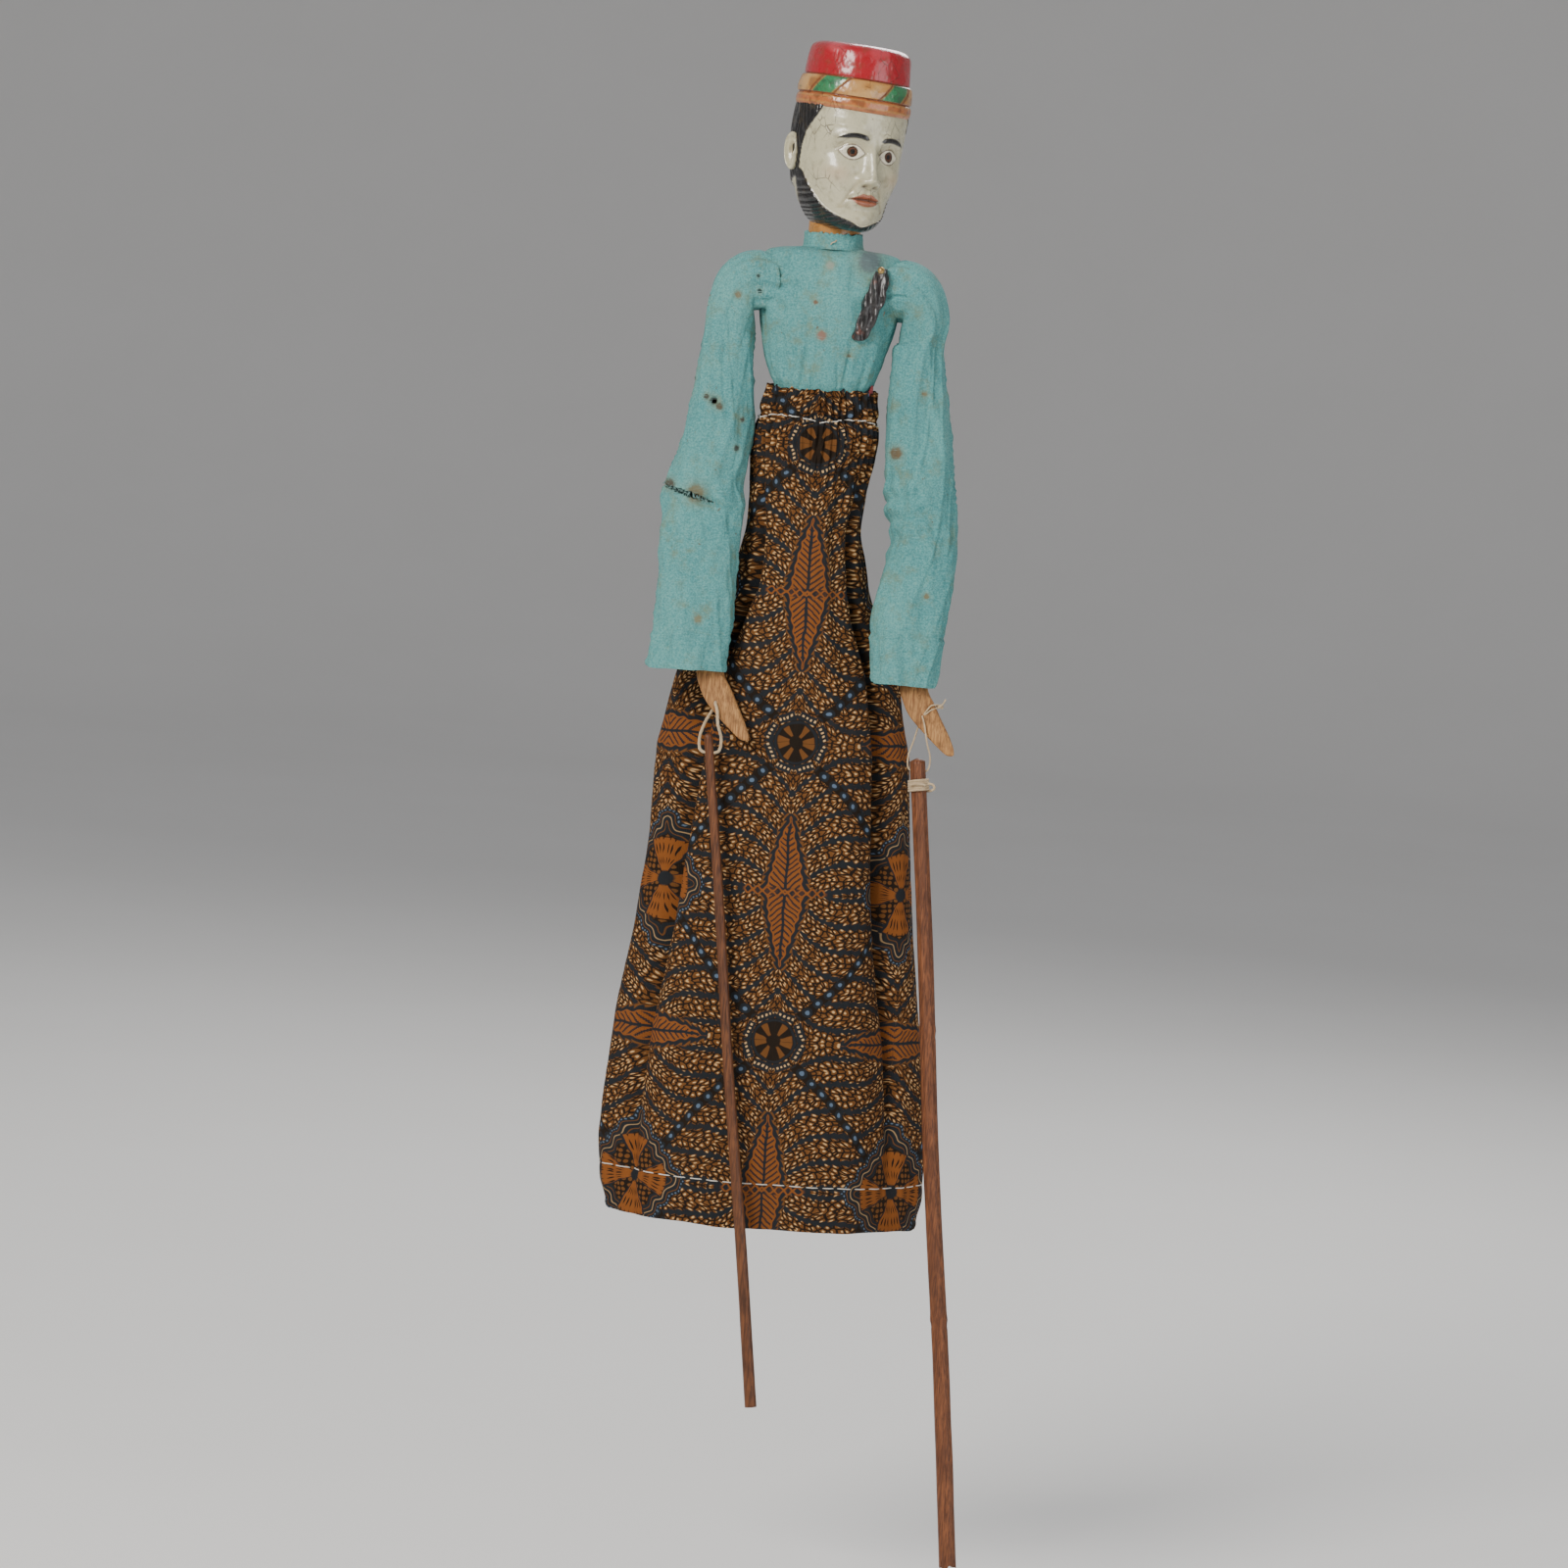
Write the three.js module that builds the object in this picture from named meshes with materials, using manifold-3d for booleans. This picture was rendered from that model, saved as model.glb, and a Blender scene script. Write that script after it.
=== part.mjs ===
// A wooden rod puppet of the wayang golek kind: a carved head on a central control rod, a carved
// torso that turns on that rod, jointed arms inside a sewn jacket, a long sarong and two arm rods.
// Millimetres, +Z up along the control rod. The origin is the middle of the control rod's flat foot.
// The puppet faces -Y, so its left side is +X.

import * as THREE from 'three';
import { mergeVertices } from 'three/addons/utils/BufferGeometryUtils.js';
import Module from 'manifold-3d';

const wasm = await Module();
wasm.setup();

// ---------------------------------------------------------------- driving dimensions
const GAP = 0.3; // left between touching pieces
const ROD = { foot: 9, grip: 11, gripTop: 150, neck: 8.5, step: 439.7, spigot: 6, top: 598 };
const NECK = { radius: 16, bottom: 541, top: 580, pivot: 560 };
const HEAD = { yaw: 27, roll: 4.4, width: 63, crown: 71.7, spigot: 24, spigotTop: 86 };
const TORSO = { bottom: 440, top: 545.7, bore: 6.8, recess: 16.7 };
const JACKET = { bottom: 445, top: 551, cloth: 1.8 };
const COLLAR = { bottom: 546.3, top: 560, inner: 17, outer: 18.8 };
const SHOULDER = { x: 51, z: 530, ball: 17, socket: 18.3, armhole: 43 };
const ELBOW = { x: 64, y: -12, z: 400, tongue: 2, radius: 5.6, clear: 9.5 };
const WRIST = { y: -38, z: 297 };
const HAND = { half: 3, tipY: -45, tipZ: 260 };
const SLEEVE = { cloth: 1.6, cuff: 299, mitre: 52 };
const SARONG = { top: 468, cloth: 2.2, hem: -28, power: 2.2 };
const WAIST_CORD = { z: 451, radius: 0.8 };
const SASH = { bottom: 447, top: 466, cloth: 1 };
const PIN = { x: 29, y: -19.5, z: 540.5, face: -26.4, head: 2.2, shaft: 0.7, length: 16 };
const KNOT = { z: 288, out: 12, radius: 2.4 };
const AROUND = 16; // facets round the arms, sleeves and torso
const SARONG_AROUND = 36;

// Each side of the puppet: sign of X, and what differs between the two arms.
const RIGHT = {
  name: 'right', sign: -1, wristX: -53.5, tipX: -30, hole: [-49, 281], cord: 1.0,
  eye: [-50.5, -44, 251], rodTop: 12, rodEnd: [2.6, -76, -130], rodRadius: [2.6, 3.5], loopHalf: 5.5,
};
const LEFT = {
  name: 'left', sign: 1, wristX: 66.5, tipX: 91, hole: [73, 282], cord: 0.6,
  eye: [72.8, -44, 249], rodTop: 8, rodEnd: [125.4, -90, -216.5], rodRadius: [4.7, 5.2], loopHalf: 8,
};

const COLOURS = {
  wood: [0x9c7444, 0.75, 0], skin: [0xb9b296, 0.3, 0], paint: [0xaf1e2d, 0.35, 0],
  jacket: [0x78aca5, 0.95, 0], batik: [0x3d2c1c, 0.95, 0], sash: [0xa02a30, 0.9, 0],
  cord: [0xd8cfb8, 0.9, 0], bamboo: [0x8c5032, 0.7, 0], ornament: [0x1c1a19, 0.35, 0],
  brass: [0xb08a4a, 0.35, 1], hand: [0xbe9664, 0.7, 0],
};

// ---------------------------------------------------------------- helpers
const puppet = new THREE.Group();

/** Closed three.js geometry to a manifold solid. */
function solid(geometry) {
  const bare = geometry.index ? geometry.clone() : mergeVertices(geometry);
  for (const name of Object.keys(bare.attributes)) {
    if (name !== 'position') bare.deleteAttribute(name);
  }
  const merged = mergeVertices(bare, 1e-4);
  return new wasm.Manifold(new wasm.Mesh({
    numProp: 3,
    vertProperties: Float32Array.from(merged.attributes.position.array),
    triVerts: Uint32Array.from(merged.index.array),
  }));
}

/** Solid to a named mesh of the puppet. */
function piece(name, body, colour) {
  const mesh = body.getMesh();
  const geometry = new THREE.BufferGeometry();
  geometry.setAttribute('position', new THREE.BufferAttribute(Float32Array.from(mesh.vertProperties), 3));
  geometry.setIndex(new THREE.BufferAttribute(Uint32Array.from(mesh.triVerts), 1));
  geometry.computeVertexNormals();
  const [color, roughness, metalness] = COLOURS[colour];
  const node = new THREE.Mesh(geometry, new THREE.MeshStandardMaterial({ color, roughness, metalness }));
  node.name = name;
  puppet.add(node);
}

/** Skin a stack of rings of points, counter-clockwise from above, and close both ends. */
function loft(stack) {
  const rings = stack[0][0].z < stack.at(-1)[0].z ? stack : [...stack].reverse();
  const count = rings[0].length;
  const points = rings.flat();
  const index = [];
  for (let level = 0; level + 1 < rings.length; level += 1) {
    for (let side = 0; side < count; side += 1) {
      const next = (side + 1) % count;
      const [a, b] = [level * count + side, level * count + next];
      index.push(a, b, b + count, a, b + count, a + count);
    }
  }
  const last = (rings.length - 1) * count;
  for (const [start, up] of [[0, false], [last, true]]) {
    const middle = new THREE.Vector3();
    for (let side = 0; side < count; side += 1) middle.add(points[start + side]);
    points.push(middle.divideScalar(count));
    for (let side = 0; side < count; side += 1) {
      const [a, b] = [start + side, start + ((side + 1) % count)];
      index.push(points.length - 1, ...(up ? [a, b] : [b, a]));
    }
  }
  const geometry = new THREE.BufferGeometry().setFromPoints(points);
  geometry.setIndex(index);
  return solid(geometry);
}

/** One ring: a superellipse with its own front and back depth. */
function ring({ x = 0, y = 0, z, rx, front, back = front, power = 2 }, count = AROUND) {
  return Array.from({ length: count }, (_, side) => {
    const turn = (2 * Math.PI * side) / count;
    const [c, s] = [Math.cos(turn), Math.sin(turn)];
    const bulge = (Math.abs(c) ** power + Math.abs(s) ** power) ** (-1 / power);
    return new THREE.Vector3(x + rx * c * bulge, y + (s < 0 ? front : back) * s * bulge, z);
  });
}

/** Value at z on straight lines between [z, value] pairs sorted from high z to low. */
function along(table, z) {
  if (z >= table[0][0]) return table[0][1];
  if (z <= table.at(-1)[0]) return table.at(-1)[1];
  const upper = table.findIndex(([height]) => height <= z) - 1;
  const [[z0, v0], [z1, v1]] = [table[upper], table[upper + 1]];
  const t = (z0 - z) / (z0 - z1);
  return v0 + (v1 - v0) * t;
}

/** Round bar from one point to another, with its own radius at each end. */
function bar(from, to, radius, endRadius = radius, sides = 10) {
  const [a, b] = [new THREE.Vector3(...from), new THREE.Vector3(...to)];
  const geometry = new THREE.CylinderGeometry(endRadius, radius, a.distanceTo(b), sides);
  const turn = new THREE.Quaternion().setFromUnitVectors(
    new THREE.Vector3(0, 1, 0), b.clone().sub(a).normalize());
  geometry.applyQuaternion(turn);
  geometry.translate(...a.add(b).multiplyScalar(0.5).toArray());
  return solid(geometry);
}

function ball(centre, radius, sides = 16, scale = [1, 1, 1]) {
  const geometry = new THREE.SphereGeometry(radius, sides, Math.round(sides * 0.6));
  geometry.scale(...scale);
  geometry.translate(...centre);
  return solid(geometry);
}

function block(low, high) {
  const size = high.map((value, axis) => value - low[axis]);
  const geometry = new THREE.BoxGeometry(...size);
  geometry.translate(...low.map((value, axis) => value + size[axis] / 2));
  return solid(geometry);
}

/** Cord bent into a closed loop through the given points. */
function loop(points, radius, steps = 40) {
  const curve = new THREE.CatmullRomCurve3(points.map((p) => new THREE.Vector3(...p)), true);
  return solid(new THREE.TubeGeometry(curve, steps, radius, 6, true));
}

/** Lathe profile of [radius, z] pairs, closed on the axis. */
function turned(profile, sides = 20) {
  const geometry = new THREE.LatheGeometry(profile.map(([r, z]) => new THREE.Vector2(r, z)), sides);
  geometry.rotateX(Math.PI / 2);
  return solid(geometry);
}

/** Prism across the puppet whose outline is given as [y, z] pairs about a point. */
function prismAcross(outline, [x, y, z], half) {
  const shape = new THREE.Shape(outline.map(([u, v]) => new THREE.Vector2(u, v)));
  const geometry = new THREE.ExtrudeGeometry(shape, { depth: 2 * half, bevelEnabled: false });
  geometry.translate(0, 0, -half);
  const swap = new THREE.Matrix4().makeBasis(
    new THREE.Vector3(0, 1, 0), new THREE.Vector3(0, 0, 1), new THREE.Vector3(1, 0, 0));
  geometry.applyMatrix4(swap);
  geometry.translate(x, y, z);
  return solid(geometry);
}

// ---------------------------------------------------------------- control rod, head and cap
function controlRod() {
  const neckStart = ROD.gripTop + 25;
  piece('control_rod', turned([
    [0, 0], [ROD.foot, 0], [ROD.grip - 1, 6], [ROD.grip, 14], [ROD.grip, ROD.gripTop], [ROD.neck, neckStart],
    [ROD.neck, ROD.step], [ROD.spigot, ROD.step], [ROD.spigot, ROD.top - 2], [ROD.spigot - 2, ROD.top],
    [0, ROD.top],
  ]), 'wood');
}

/** Turn a solid drawn about the neck's pivot into the head's pose. */
function posedHead(body) {
  return body.rotate([0, 0, HEAD.yaw]).rotate([0, HEAD.roll, 0]).translate([0, 0, NECK.pivot]);
}

function headAndCap() {
  const half = HEAD.width / 2;
  const skull = loft([
    { z: 3, rx: 10, front: 26, back: 4 }, { z: 7, rx: 17, front: 31, back: 12 },
    { z: 15, rx: 23, front: 33.5, back: 22 }, { z: 26, rx: 27, front: 34, back: 30 },
    { z: 40, rx: half - 1.5, front: 33.5, back: 35 }, { z: 54, rx: half - 0.5, front: 34, back: 37 },
    { z: HEAD.crown, rx: half - 0.5, front: 34, back: 37 },
  ].map((level) => ring({ ...level, power: 2.2 }, 20)));
  const nose = ball([0, -34, 38], 5, 10, [0.9, 1.3, 1.9]);
  const ears = [-1, 1].map((side) => ball([side * (half - 1), 3, 38], 6, 10, [0.5, 1, 1.7]));
  const spigot = bar([0, 1, HEAD.crown - 5], [0, 1, HEAD.spigotTop], HEAD.spigot, HEAD.spigot, 20);
  const neck = bar([0, 0, NECK.bottom], [0, 0, NECK.top], NECK.radius, NECK.radius - 1, 20);
  const bore = bar([0, 0, NECK.bottom - 5], [0, 0, ROD.top + GAP], ROD.spigot + GAP, ROD.spigot + GAP, 20);
  const carving = skull.add(nose).add(ears[0]).add(ears[1]).add(spigot);
  piece('head', posedHead(carving).add(neck).subtract(bore), 'skin');

  const outside = loft([
    { z: HEAD.crown + GAP, rx: 31.5, front: 34, back: 38 }, { z: 76, rx: 32.5, front: 35, back: 39 },
    { z: 83, rx: 32, front: 34.5, back: 38.5 }, { z: 90, rx: 31, front: 33.5, back: 37.5 },
    { z: 91, rx: 30, front: 32.5, back: 36.5 }, { z: 106, rx: 28.7, front: 31, back: 35 },
    { z: 109.5, rx: 27, front: 29, back: 33 }, { z: 111.5, rx: 20, front: 22, back: 26 },
  ].map((level) => ring({ ...level, power: 2.1 }, 24)));
  const pocket = bar([0, 1, HEAD.crown - 5], [0, 1, HEAD.spigotTop + GAP], HEAD.spigot + GAP,
    HEAD.spigot + GAP, 20);
  piece('cap', posedHead(outside.subtract(pocket)), 'paint');
}

// ---------------------------------------------------------------- torso, jacket and ornament
const JACKET_HALF = [
  [551, 18], [549.5, 34], [547, 40], [543, 41.4], [518, 41.4], [500, 38.5], [485, 35], [474, 31.5],
  [468, 28.6], [445, 28],
];
const JACKET_DEPTH = [
  [551, 14], [549.5, 17], [547, 19], [543, 20], [518, 22], [500, 22.5], [485, 22], [474, 21.5],
  [468, 20.6], [445, 20],
];

/** The jacket's outer form, shrunk by an inset, between two heights. */
function jacketForm(inset, low, high) {
  const heights = JACKET_HALF.map(([z]) => z).filter((z) => z > low && z < high);
  const levels = [high, ...heights, low];
  return loft(levels.map((z) => ring({
    z: z - (z > 530 ? inset * 0.9 : 0), rx: along(JACKET_HALF, z) - inset,
    front: along(JACKET_DEPTH, z) - inset, power: 2.3,
  }, 20)));
}

function socket(side) {
  return ball([side * SHOULDER.x, 0, SHOULDER.z], SHOULDER.socket);
}

function pinHole(radius) {
  return bar([PIN.x, -40, PIN.z], [PIN.x, PIN.y + 14, PIN.z], radius, radius, 8);
}

function torsoAndJacket() {
  const blockTop = TORSO.top + 3;
  const trunk = jacketForm(JACKET.cloth + GAP, TORSO.bottom, blockTop)
    .subtract(bar([0, 0, TORSO.bottom - 5], [0, 0, blockTop + 20], TORSO.bore, TORSO.bore, 20))
    .subtract(bar([0, 0, NECK.bottom - GAP], [0, 0, blockTop + 20], TORSO.recess, TORSO.recess, 20))
    .subtract(bar([-60, 0, SHOULDER.z], [60, 0, SHOULDER.z], 2.1, 2.1, 10))
    .subtract(block([-80, -80, TORSO.top], [80, 80, TORSO.top + 60]))
    .subtract(socket(-1)).subtract(socket(1))
    .subtract(pinHole(PIN.shaft + GAP));
  piece('torso_block', trunk, 'wood');

  const hollow = jacketForm(JACKET.cloth, JACKET.bottom - 8, JACKET.top - 1.5);
  const cloth = jacketForm(0, JACKET.bottom, JACKET.top).subtract(hollow)
    .subtract(bar([0, 0, 520], [0, 0, 600], COLLAR.outer + GAP, COLLAR.outer + GAP, 20))
    .subtract(socket(-1)).subtract(socket(1))
    .subtract(pinHole(PIN.shaft + GAP));
  piece('jacket_body', cloth, 'jacket');

  const band = bar([0, 0, COLLAR.bottom], [0, 0, COLLAR.top], COLLAR.outer, COLLAR.outer - 0.4, 20)
    .subtract(bar([0, 0, COLLAR.bottom - 5], [0, 0, COLLAR.top + 5], COLLAR.inner, COLLAR.inner, 20));
  piece('jacket_collar', band, 'jacket');
}

function ornamentAndPin() {
  const strip = loft([
    { x: 29, y: -17, z: 545, rx: 3.5, front: 5 }, { x: 28, y: -19, z: 536, rx: 6, front: 5 },
    { x: 23, y: -20, z: 522, rx: 6.5, front: 5.5 }, { x: 20, y: -21, z: 510, rx: 5.5, front: 5 },
    { x: 19, y: -21.5, z: 500, rx: 3.5, front: 4.5 },
  ].map((level) => ring(level, 12)));
  const hung = strip.subtract(jacketForm(-GAP, 480, JACKET.top)).subtract(pinHole(PIN.shaft + GAP));
  piece('chest_ornament', hung, 'ornament');

  const pin = ball([PIN.x, PIN.face, PIN.z], PIN.head, 12)
    .add(bar([PIN.x, PIN.face, PIN.z], [PIN.x, PIN.face + PIN.length, PIN.z], PIN.shaft,
      PIN.shaft, 8));
  piece('ornament_pin', pin, 'brass');
}

// ---------------------------------------------------------------- sarong, its cord and the sash
// Half widths to the puppet's right and left, front and back depth, and depth of the side folds.
const SARONG_RIGHT = [
  [468, 35], [460, 36], [451, 35.5], [440, 38.5], [385, 38], [350, 44], [330, 55], [300, 72], [250, 83],
  [200, 84], [145, 89], [90, 97], [45, 100], [15, 101], [-12, 98], [-28, 92],
];
const SARONG_LEFT = [
  [468, 33], [460, 33.5], [451, 33.5], [440, 35], [385, 28], [350, 36], [330, 43], [300, 57], [250, 68],
  [200, 72], [145, 78], [90, 87], [45, 92], [15, 94], [-12, 95], [-28, 91],
];
const SARONG_FRONT = [
  [468, 25], [460, 25.5], [451, 25], [440, 28], [385, 27], [300, 32], [200, 40], [100, 48], [0, 54],
  [-28, 54],
];
const SARONG_BACK = [
  [468, 25], [460, 25.5], [451, 25], [440, 29], [385, 31], [300, 40], [200, 47], [100, 53], [0, 58],
  [-28, 57],
];
const FOLD_DEPTH = [[440, 0], [385, 3], [350, 9], [300, 13], [200, 14], [100, 10], [30, 4], [-28, 1]];
const FOLDS = [{ at: 213, wide: 14, deep: 1 }, { at: 327, wide: 14, deep: 1 },
  { at: 55, wide: 11, deep: 0.45 }, { at: 90, wide: 9, deep: 0.35 }, { at: 126, wide: 11, deep: 0.45 }];

/** One level of the sarong, shrunk by an inset measured towards the axis. */
function sarongRing(z, inset) {
  const right = along(SARONG_RIGHT, z) - inset;
  const left = along(SARONG_LEFT, z) - inset;
  const front = along(SARONG_FRONT, z) - inset;
  const back = along(SARONG_BACK, z) - inset;
  const depth = along(FOLD_DEPTH, z);
  return Array.from({ length: SARONG_AROUND }, (_, side) => {
    const turn = (360 * side) / SARONG_AROUND;
    const angle = (turn * Math.PI) / 180;
    const [c, s] = [Math.cos(angle), Math.sin(angle)];
    const bulge = (Math.abs(c) ** SARONG.power + Math.abs(s) ** SARONG.power) ** (-1 / SARONG.power);
    const x = (c < 0 ? right : left) * c * bulge;
    const y = (s < 0 ? front : back) * s * bulge;
    const pull = FOLDS.reduce((sum, fold) => {
      const off = (turn - fold.at) / fold.wide;
      return sum + fold.deep * depth * Math.exp(-off * off);
    }, 0);
    const shrink = 1 - pull / Math.hypot(x, y);
    return new THREE.Vector3(x * shrink, y * shrink, z);
  });
}

function sarongForm(inset, low, high) {
  const heights = SARONG_RIGHT.map(([z]) => z).filter((z) => z > low && z < high);
  return loft([high, ...heights, low].map((z) => sarongRing(z, inset)));
}

function sarongAndSash() {
  const skirt = sarongForm(0, SARONG.hem, SARONG.top)
    .subtract(sarongForm(SARONG.cloth, SARONG.hem - 5, SARONG.top + 5));
  piece('sarong', skirt, 'batik');

  const round = sarongRing(WAIST_CORD.z, -(WAIST_CORD.radius + GAP)).filter((_, side) => side % 2 === 0);
  piece('waist_cord', loop(round.map((p) => [p.x, p.y, p.z]), WAIST_CORD.radius, 40), 'cord');

  const band = jacketForm(-GAP - SASH.cloth, SASH.bottom - 1, SASH.top + 1)
    .intersect(block([-60, -60, SASH.bottom], [60, 60, SASH.top]))
    .subtract(jacketForm(-GAP, SASH.bottom - 7, SASH.top + 9));
  piece('waist_sash', band, 'sash');
}

// ---------------------------------------------------------------- arms
// Sleeves: [z, middle, half width, half depth] from the shoulder down, with X measured outwards.
const SLEEVE_SHAPES = {
  right: [[526, 51.5, 14.8, 14.8], [514, 54, 14, 15], [493, 57.5, 14.5, 15], [460, 58.5, 17.5, 15.5],
    [430, 61, 20, 16],
    [411, 65, 21.5, 16], [400, 66, 23.5, 16], [388, 65, 23, 15.5], [363, 65, 23, 14.5],
    [330, 65, 23, 13.5], [299, 66.5, 23.5, 12]],
  left: [[526, 51.5, 14.8, 14.8], [514, 53, 14.2, 15], [493, 54.5, 14.5, 15], [460, 57, 17.5, 15.5],
    [430, 60, 19.5, 16],
    [411, 62, 20.5, 16], [400, 63.5, 21, 16], [384, 66, 19.5, 15.5], [363, 64, 21, 14.5],
    [330, 60.5, 21, 13.5], [299, 60.5, 17.5, 12]],
};

/** Y of the arm's middle line at a height. */
function armY(z) {
  return along([[SHOULDER.z, 0], [ELBOW.z, ELBOW.y], [WRIST.z, WRIST.y], [HAND.tipZ, HAND.tipY]], z);
}

function sleeveForm(side, inset, low, high) {
  const column = (index) => SLEEVE_SHAPES[side.name].map((row) => [row[0], row[index]]);
  const heights = column(0).map(([z]) => z).filter((z) => z > low && z < high);
  return loft([high, ...heights, low].map((z) => ring({
    x: side.sign * along(column(1), z), y: armY(z), z, rx: along(column(2), z) - inset,
    front: along(column(3), z) - inset, power: 2.5,
  })));
}

function sleeves(side) {
  const centre = [side.sign * SHOULDER.x, 0, SHOULDER.z];
  const elbow = [side.sign * ELBOW.x, ELBOW.y, ELBOW.z];
  const reach = 70;
  const rise = reach * Math.tan((SLEEVE.mitre * Math.PI) / 180);
  const below = [[reach, GAP], [0, GAP], [-reach, rise], [-reach, -reach], [reach, -reach]];
  const above = [[reach, -GAP], [reach, reach], [-reach, reach], [-reach, -rise], [0, -GAP]];

  const inner = side.sign * (SHOULDER.armhole - 100);
  const outer = side.sign * SHOULDER.armhole;
  const towardsBody = block(
    [Math.min(inner, outer), -60, 500], [Math.max(inner, outer), 60, 600]);
  const slotX = [side.sign * (SHOULDER.x - 20), side.sign * (SHOULDER.x - 1)].sort((a, b) => a - b);
  const cordSlot = block([slotX[0], -3, SHOULDER.z], [slotX[1], 3, SHOULDER.z + 30]);
  const outside = sleeveForm(side, 0, ELBOW.z - 12, 526)
    .add(ball(centre, SHOULDER.ball));
  const inside = sleeveForm(side, SLEEVE.cloth, ELBOW.z - 20, 527)
    .add(ball(centre, SHOULDER.ball - SLEEVE.cloth));
  piece(`${side.name}_sleeve_upper`, outside.subtract(inside).subtract(towardsBody)
    .subtract(cordSlot).subtract(prismAcross(below, elbow, 60)), 'jacket');

  const lower = sleeveForm(side, 0, SLEEVE.cuff, ELBOW.z + 12)
    .subtract(sleeveForm(side, SLEEVE.cloth, SLEEVE.cuff - 8, ELBOW.z + 20))
    .subtract(prismAcross(above, elbow, 60));
  piece(`${side.name}_sleeve_lower`, lower, 'jacket');
}

function shoulderCord(side) {
  const [x, z] = [side.sign * SHOULDER.x, SHOULDER.z];
  const bend = 4.5;
  const wire = 1.2;
  const eyelet = new THREE.TorusGeometry(bend, wire, 6, 14);
  eyelet.translate(x - side.sign * bend, 0, z);
  const stub = bar([side.sign * 14, 0, z], [x - side.sign * 2 * bend, 0, z], 1.5, 1.5, 8);
  piece(`${side.name}_shoulder_cord`, solid(eyelet).add(stub), 'cord');
}

function upperArm(side) {
  const [x, z] = [side.sign * SHOULDER.x, SHOULDER.z];
  const elbow = [side.sign * ELBOW.x, ELBOW.y, ELBOW.z];
  const half = [[523, 5], [516, 7.5], [480, 8.3], [440, 7.6], [412, 6.1], [400, 5.4]];
  const limb = loft(half.map(([level, radius]) => ring({
    x: side.sign * along([[SHOULDER.z, SHOULDER.x], [ELBOW.z, ELBOW.x]], level), y: armY(level),
    z: level, rx: Math.max(radius, 6.8), front: radius,
  }, 12)));
  const tab = bar([x, -1.2, z], [x, 1.2, z], 4, 4, 14)
    .add(block([x - 3, -1.2, z - 9], [x + 3, 1.2, z]));
  const knuckle = bar([elbow[0] - 6.6, elbow[1], elbow[2]], [elbow[0] + 6.6, elbow[1], elbow[2]],
    ELBOW.radius, ELBOW.radius, 16);
  const fork = bar([elbow[0] - 2.5, elbow[1], elbow[2]], [elbow[0] + 2.5, elbow[1], elbow[2]],
    ELBOW.clear + 0.8, ELBOW.clear + 0.8, 20);
  const pinBore = bar([elbow[0] - 9, elbow[1], elbow[2]], [elbow[0] + 9, elbow[1], elbow[2]], 1.5, 1.5);
  const eye = bar([x, -4, z], [x, 4, z], 2, 2, 12);
  piece(`${side.name}_upper_arm`, limb.add(tab).add(knuckle).subtract(fork).subtract(pinBore)
    .subtract(eye), 'wood');
  piece(`${side.name}_elbow_cord`, bar([elbow[0] - 6.4, elbow[1], elbow[2]],
    [elbow[0] + 6.4, elbow[1], elbow[2]], 1.1, 1.1), 'cord');
}

function forearm(side) {
  const elbow = [side.sign * ELBOW.x, ELBOW.y, ELBOW.z];
  const middle = [[ELBOW.z, elbow[0]], [WRIST.z, side.wristX], [283, side.wristX + 6.5],
    [271, side.tipX - 8.5], [HAND.tipZ, side.tipX]];
  const levels = [[398, 5.5, 5.5], [385, 6.2, 5.8], [360, 7.4, 7], [330, 7.2, 6.4], [309, 7, 5.2],
    [WRIST.z, 8.2, 4.2], [290, 9, HAND.half + 0.3], [281, 9, HAND.half], [271, 7, 2.7], [264, 4.6, 2.1],
    [HAND.tipZ, 2.4, 1.4]];
  const limb = loft(levels.map(([level, rx, ry]) => ring({
    x: along(middle, level), y: armY(level), z: level, rx, front: ry, power: 2.2,
  }, 12)));
  const shoulder = bar([elbow[0] - 20, elbow[1], elbow[2]], [elbow[0] + 20, elbow[1], elbow[2]],
    ELBOW.clear, ELBOW.clear, 20);
  const tongue = bar([elbow[0] - ELBOW.tongue, elbow[1], elbow[2]],
    [elbow[0] + ELBOW.tongue, elbow[1], elbow[2]], ELBOW.radius, ELBOW.radius, 16)
    .add(prismAcross([[-4.5, 0], [-6.5, -14], [1.5, -14], [4.5, 0]], elbow, ELBOW.tongue));
  const pinBore = bar([elbow[0] - 9, elbow[1], elbow[2]], [elbow[0] + 9, elbow[1], elbow[2]], 1.5, 1.5);
  const [holeX, holeZ] = side.hole;
  const palmHole = bar([holeX, -70, holeZ], [holeX, -20, holeZ], side.cord + 0.7, side.cord + 0.7);
  piece(`${side.name}_forearm`, limb.subtract(shoulder).add(tongue).subtract(pinBore)
    .subtract(palmHole), 'hand');
}

/** Cord loop: along Y through the palm, then down to pass along X through the arm rod's eye. */
function handLoop(side) {
  const [holeX, holeZ] = side.hole;
  const hole = [holeX, armY(holeZ), holeZ];
  const [wide, deep] = [side.loopHalf, HAND.half + side.cord + 1];
  const nearEye = (x, y, z) => [side.eye[0] + x, side.eye[1] + y, side.eye[2] + z];
  const nearHole = (x, y, z) => [hole[0] + x, hole[1] + y, hole[2] + z];
  const path = [
    nearEye(0, 0, 0), nearEye(wide, 0, 1.5), nearEye(wide + 0.8, -1, 9), nearEye(wide * 0.7, -4.4, 17.5),
    nearHole(1.4, -deep - 0.6, -5), nearHole(0, -deep, -0.8), nearHole(0, 0, 0), nearHole(0, deep, -0.8),
    nearHole(-1.4, deep + 0.6, -5), nearEye(-wide * 0.7, 4.4, 17.5), nearEye(-wide - 0.8, 1, 9),
    nearEye(-wide, 0, 1.5),
  ];
  piece(`${side.name}_hand_loop`, loop(path, side.cord, 36), 'cord');
}

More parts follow.
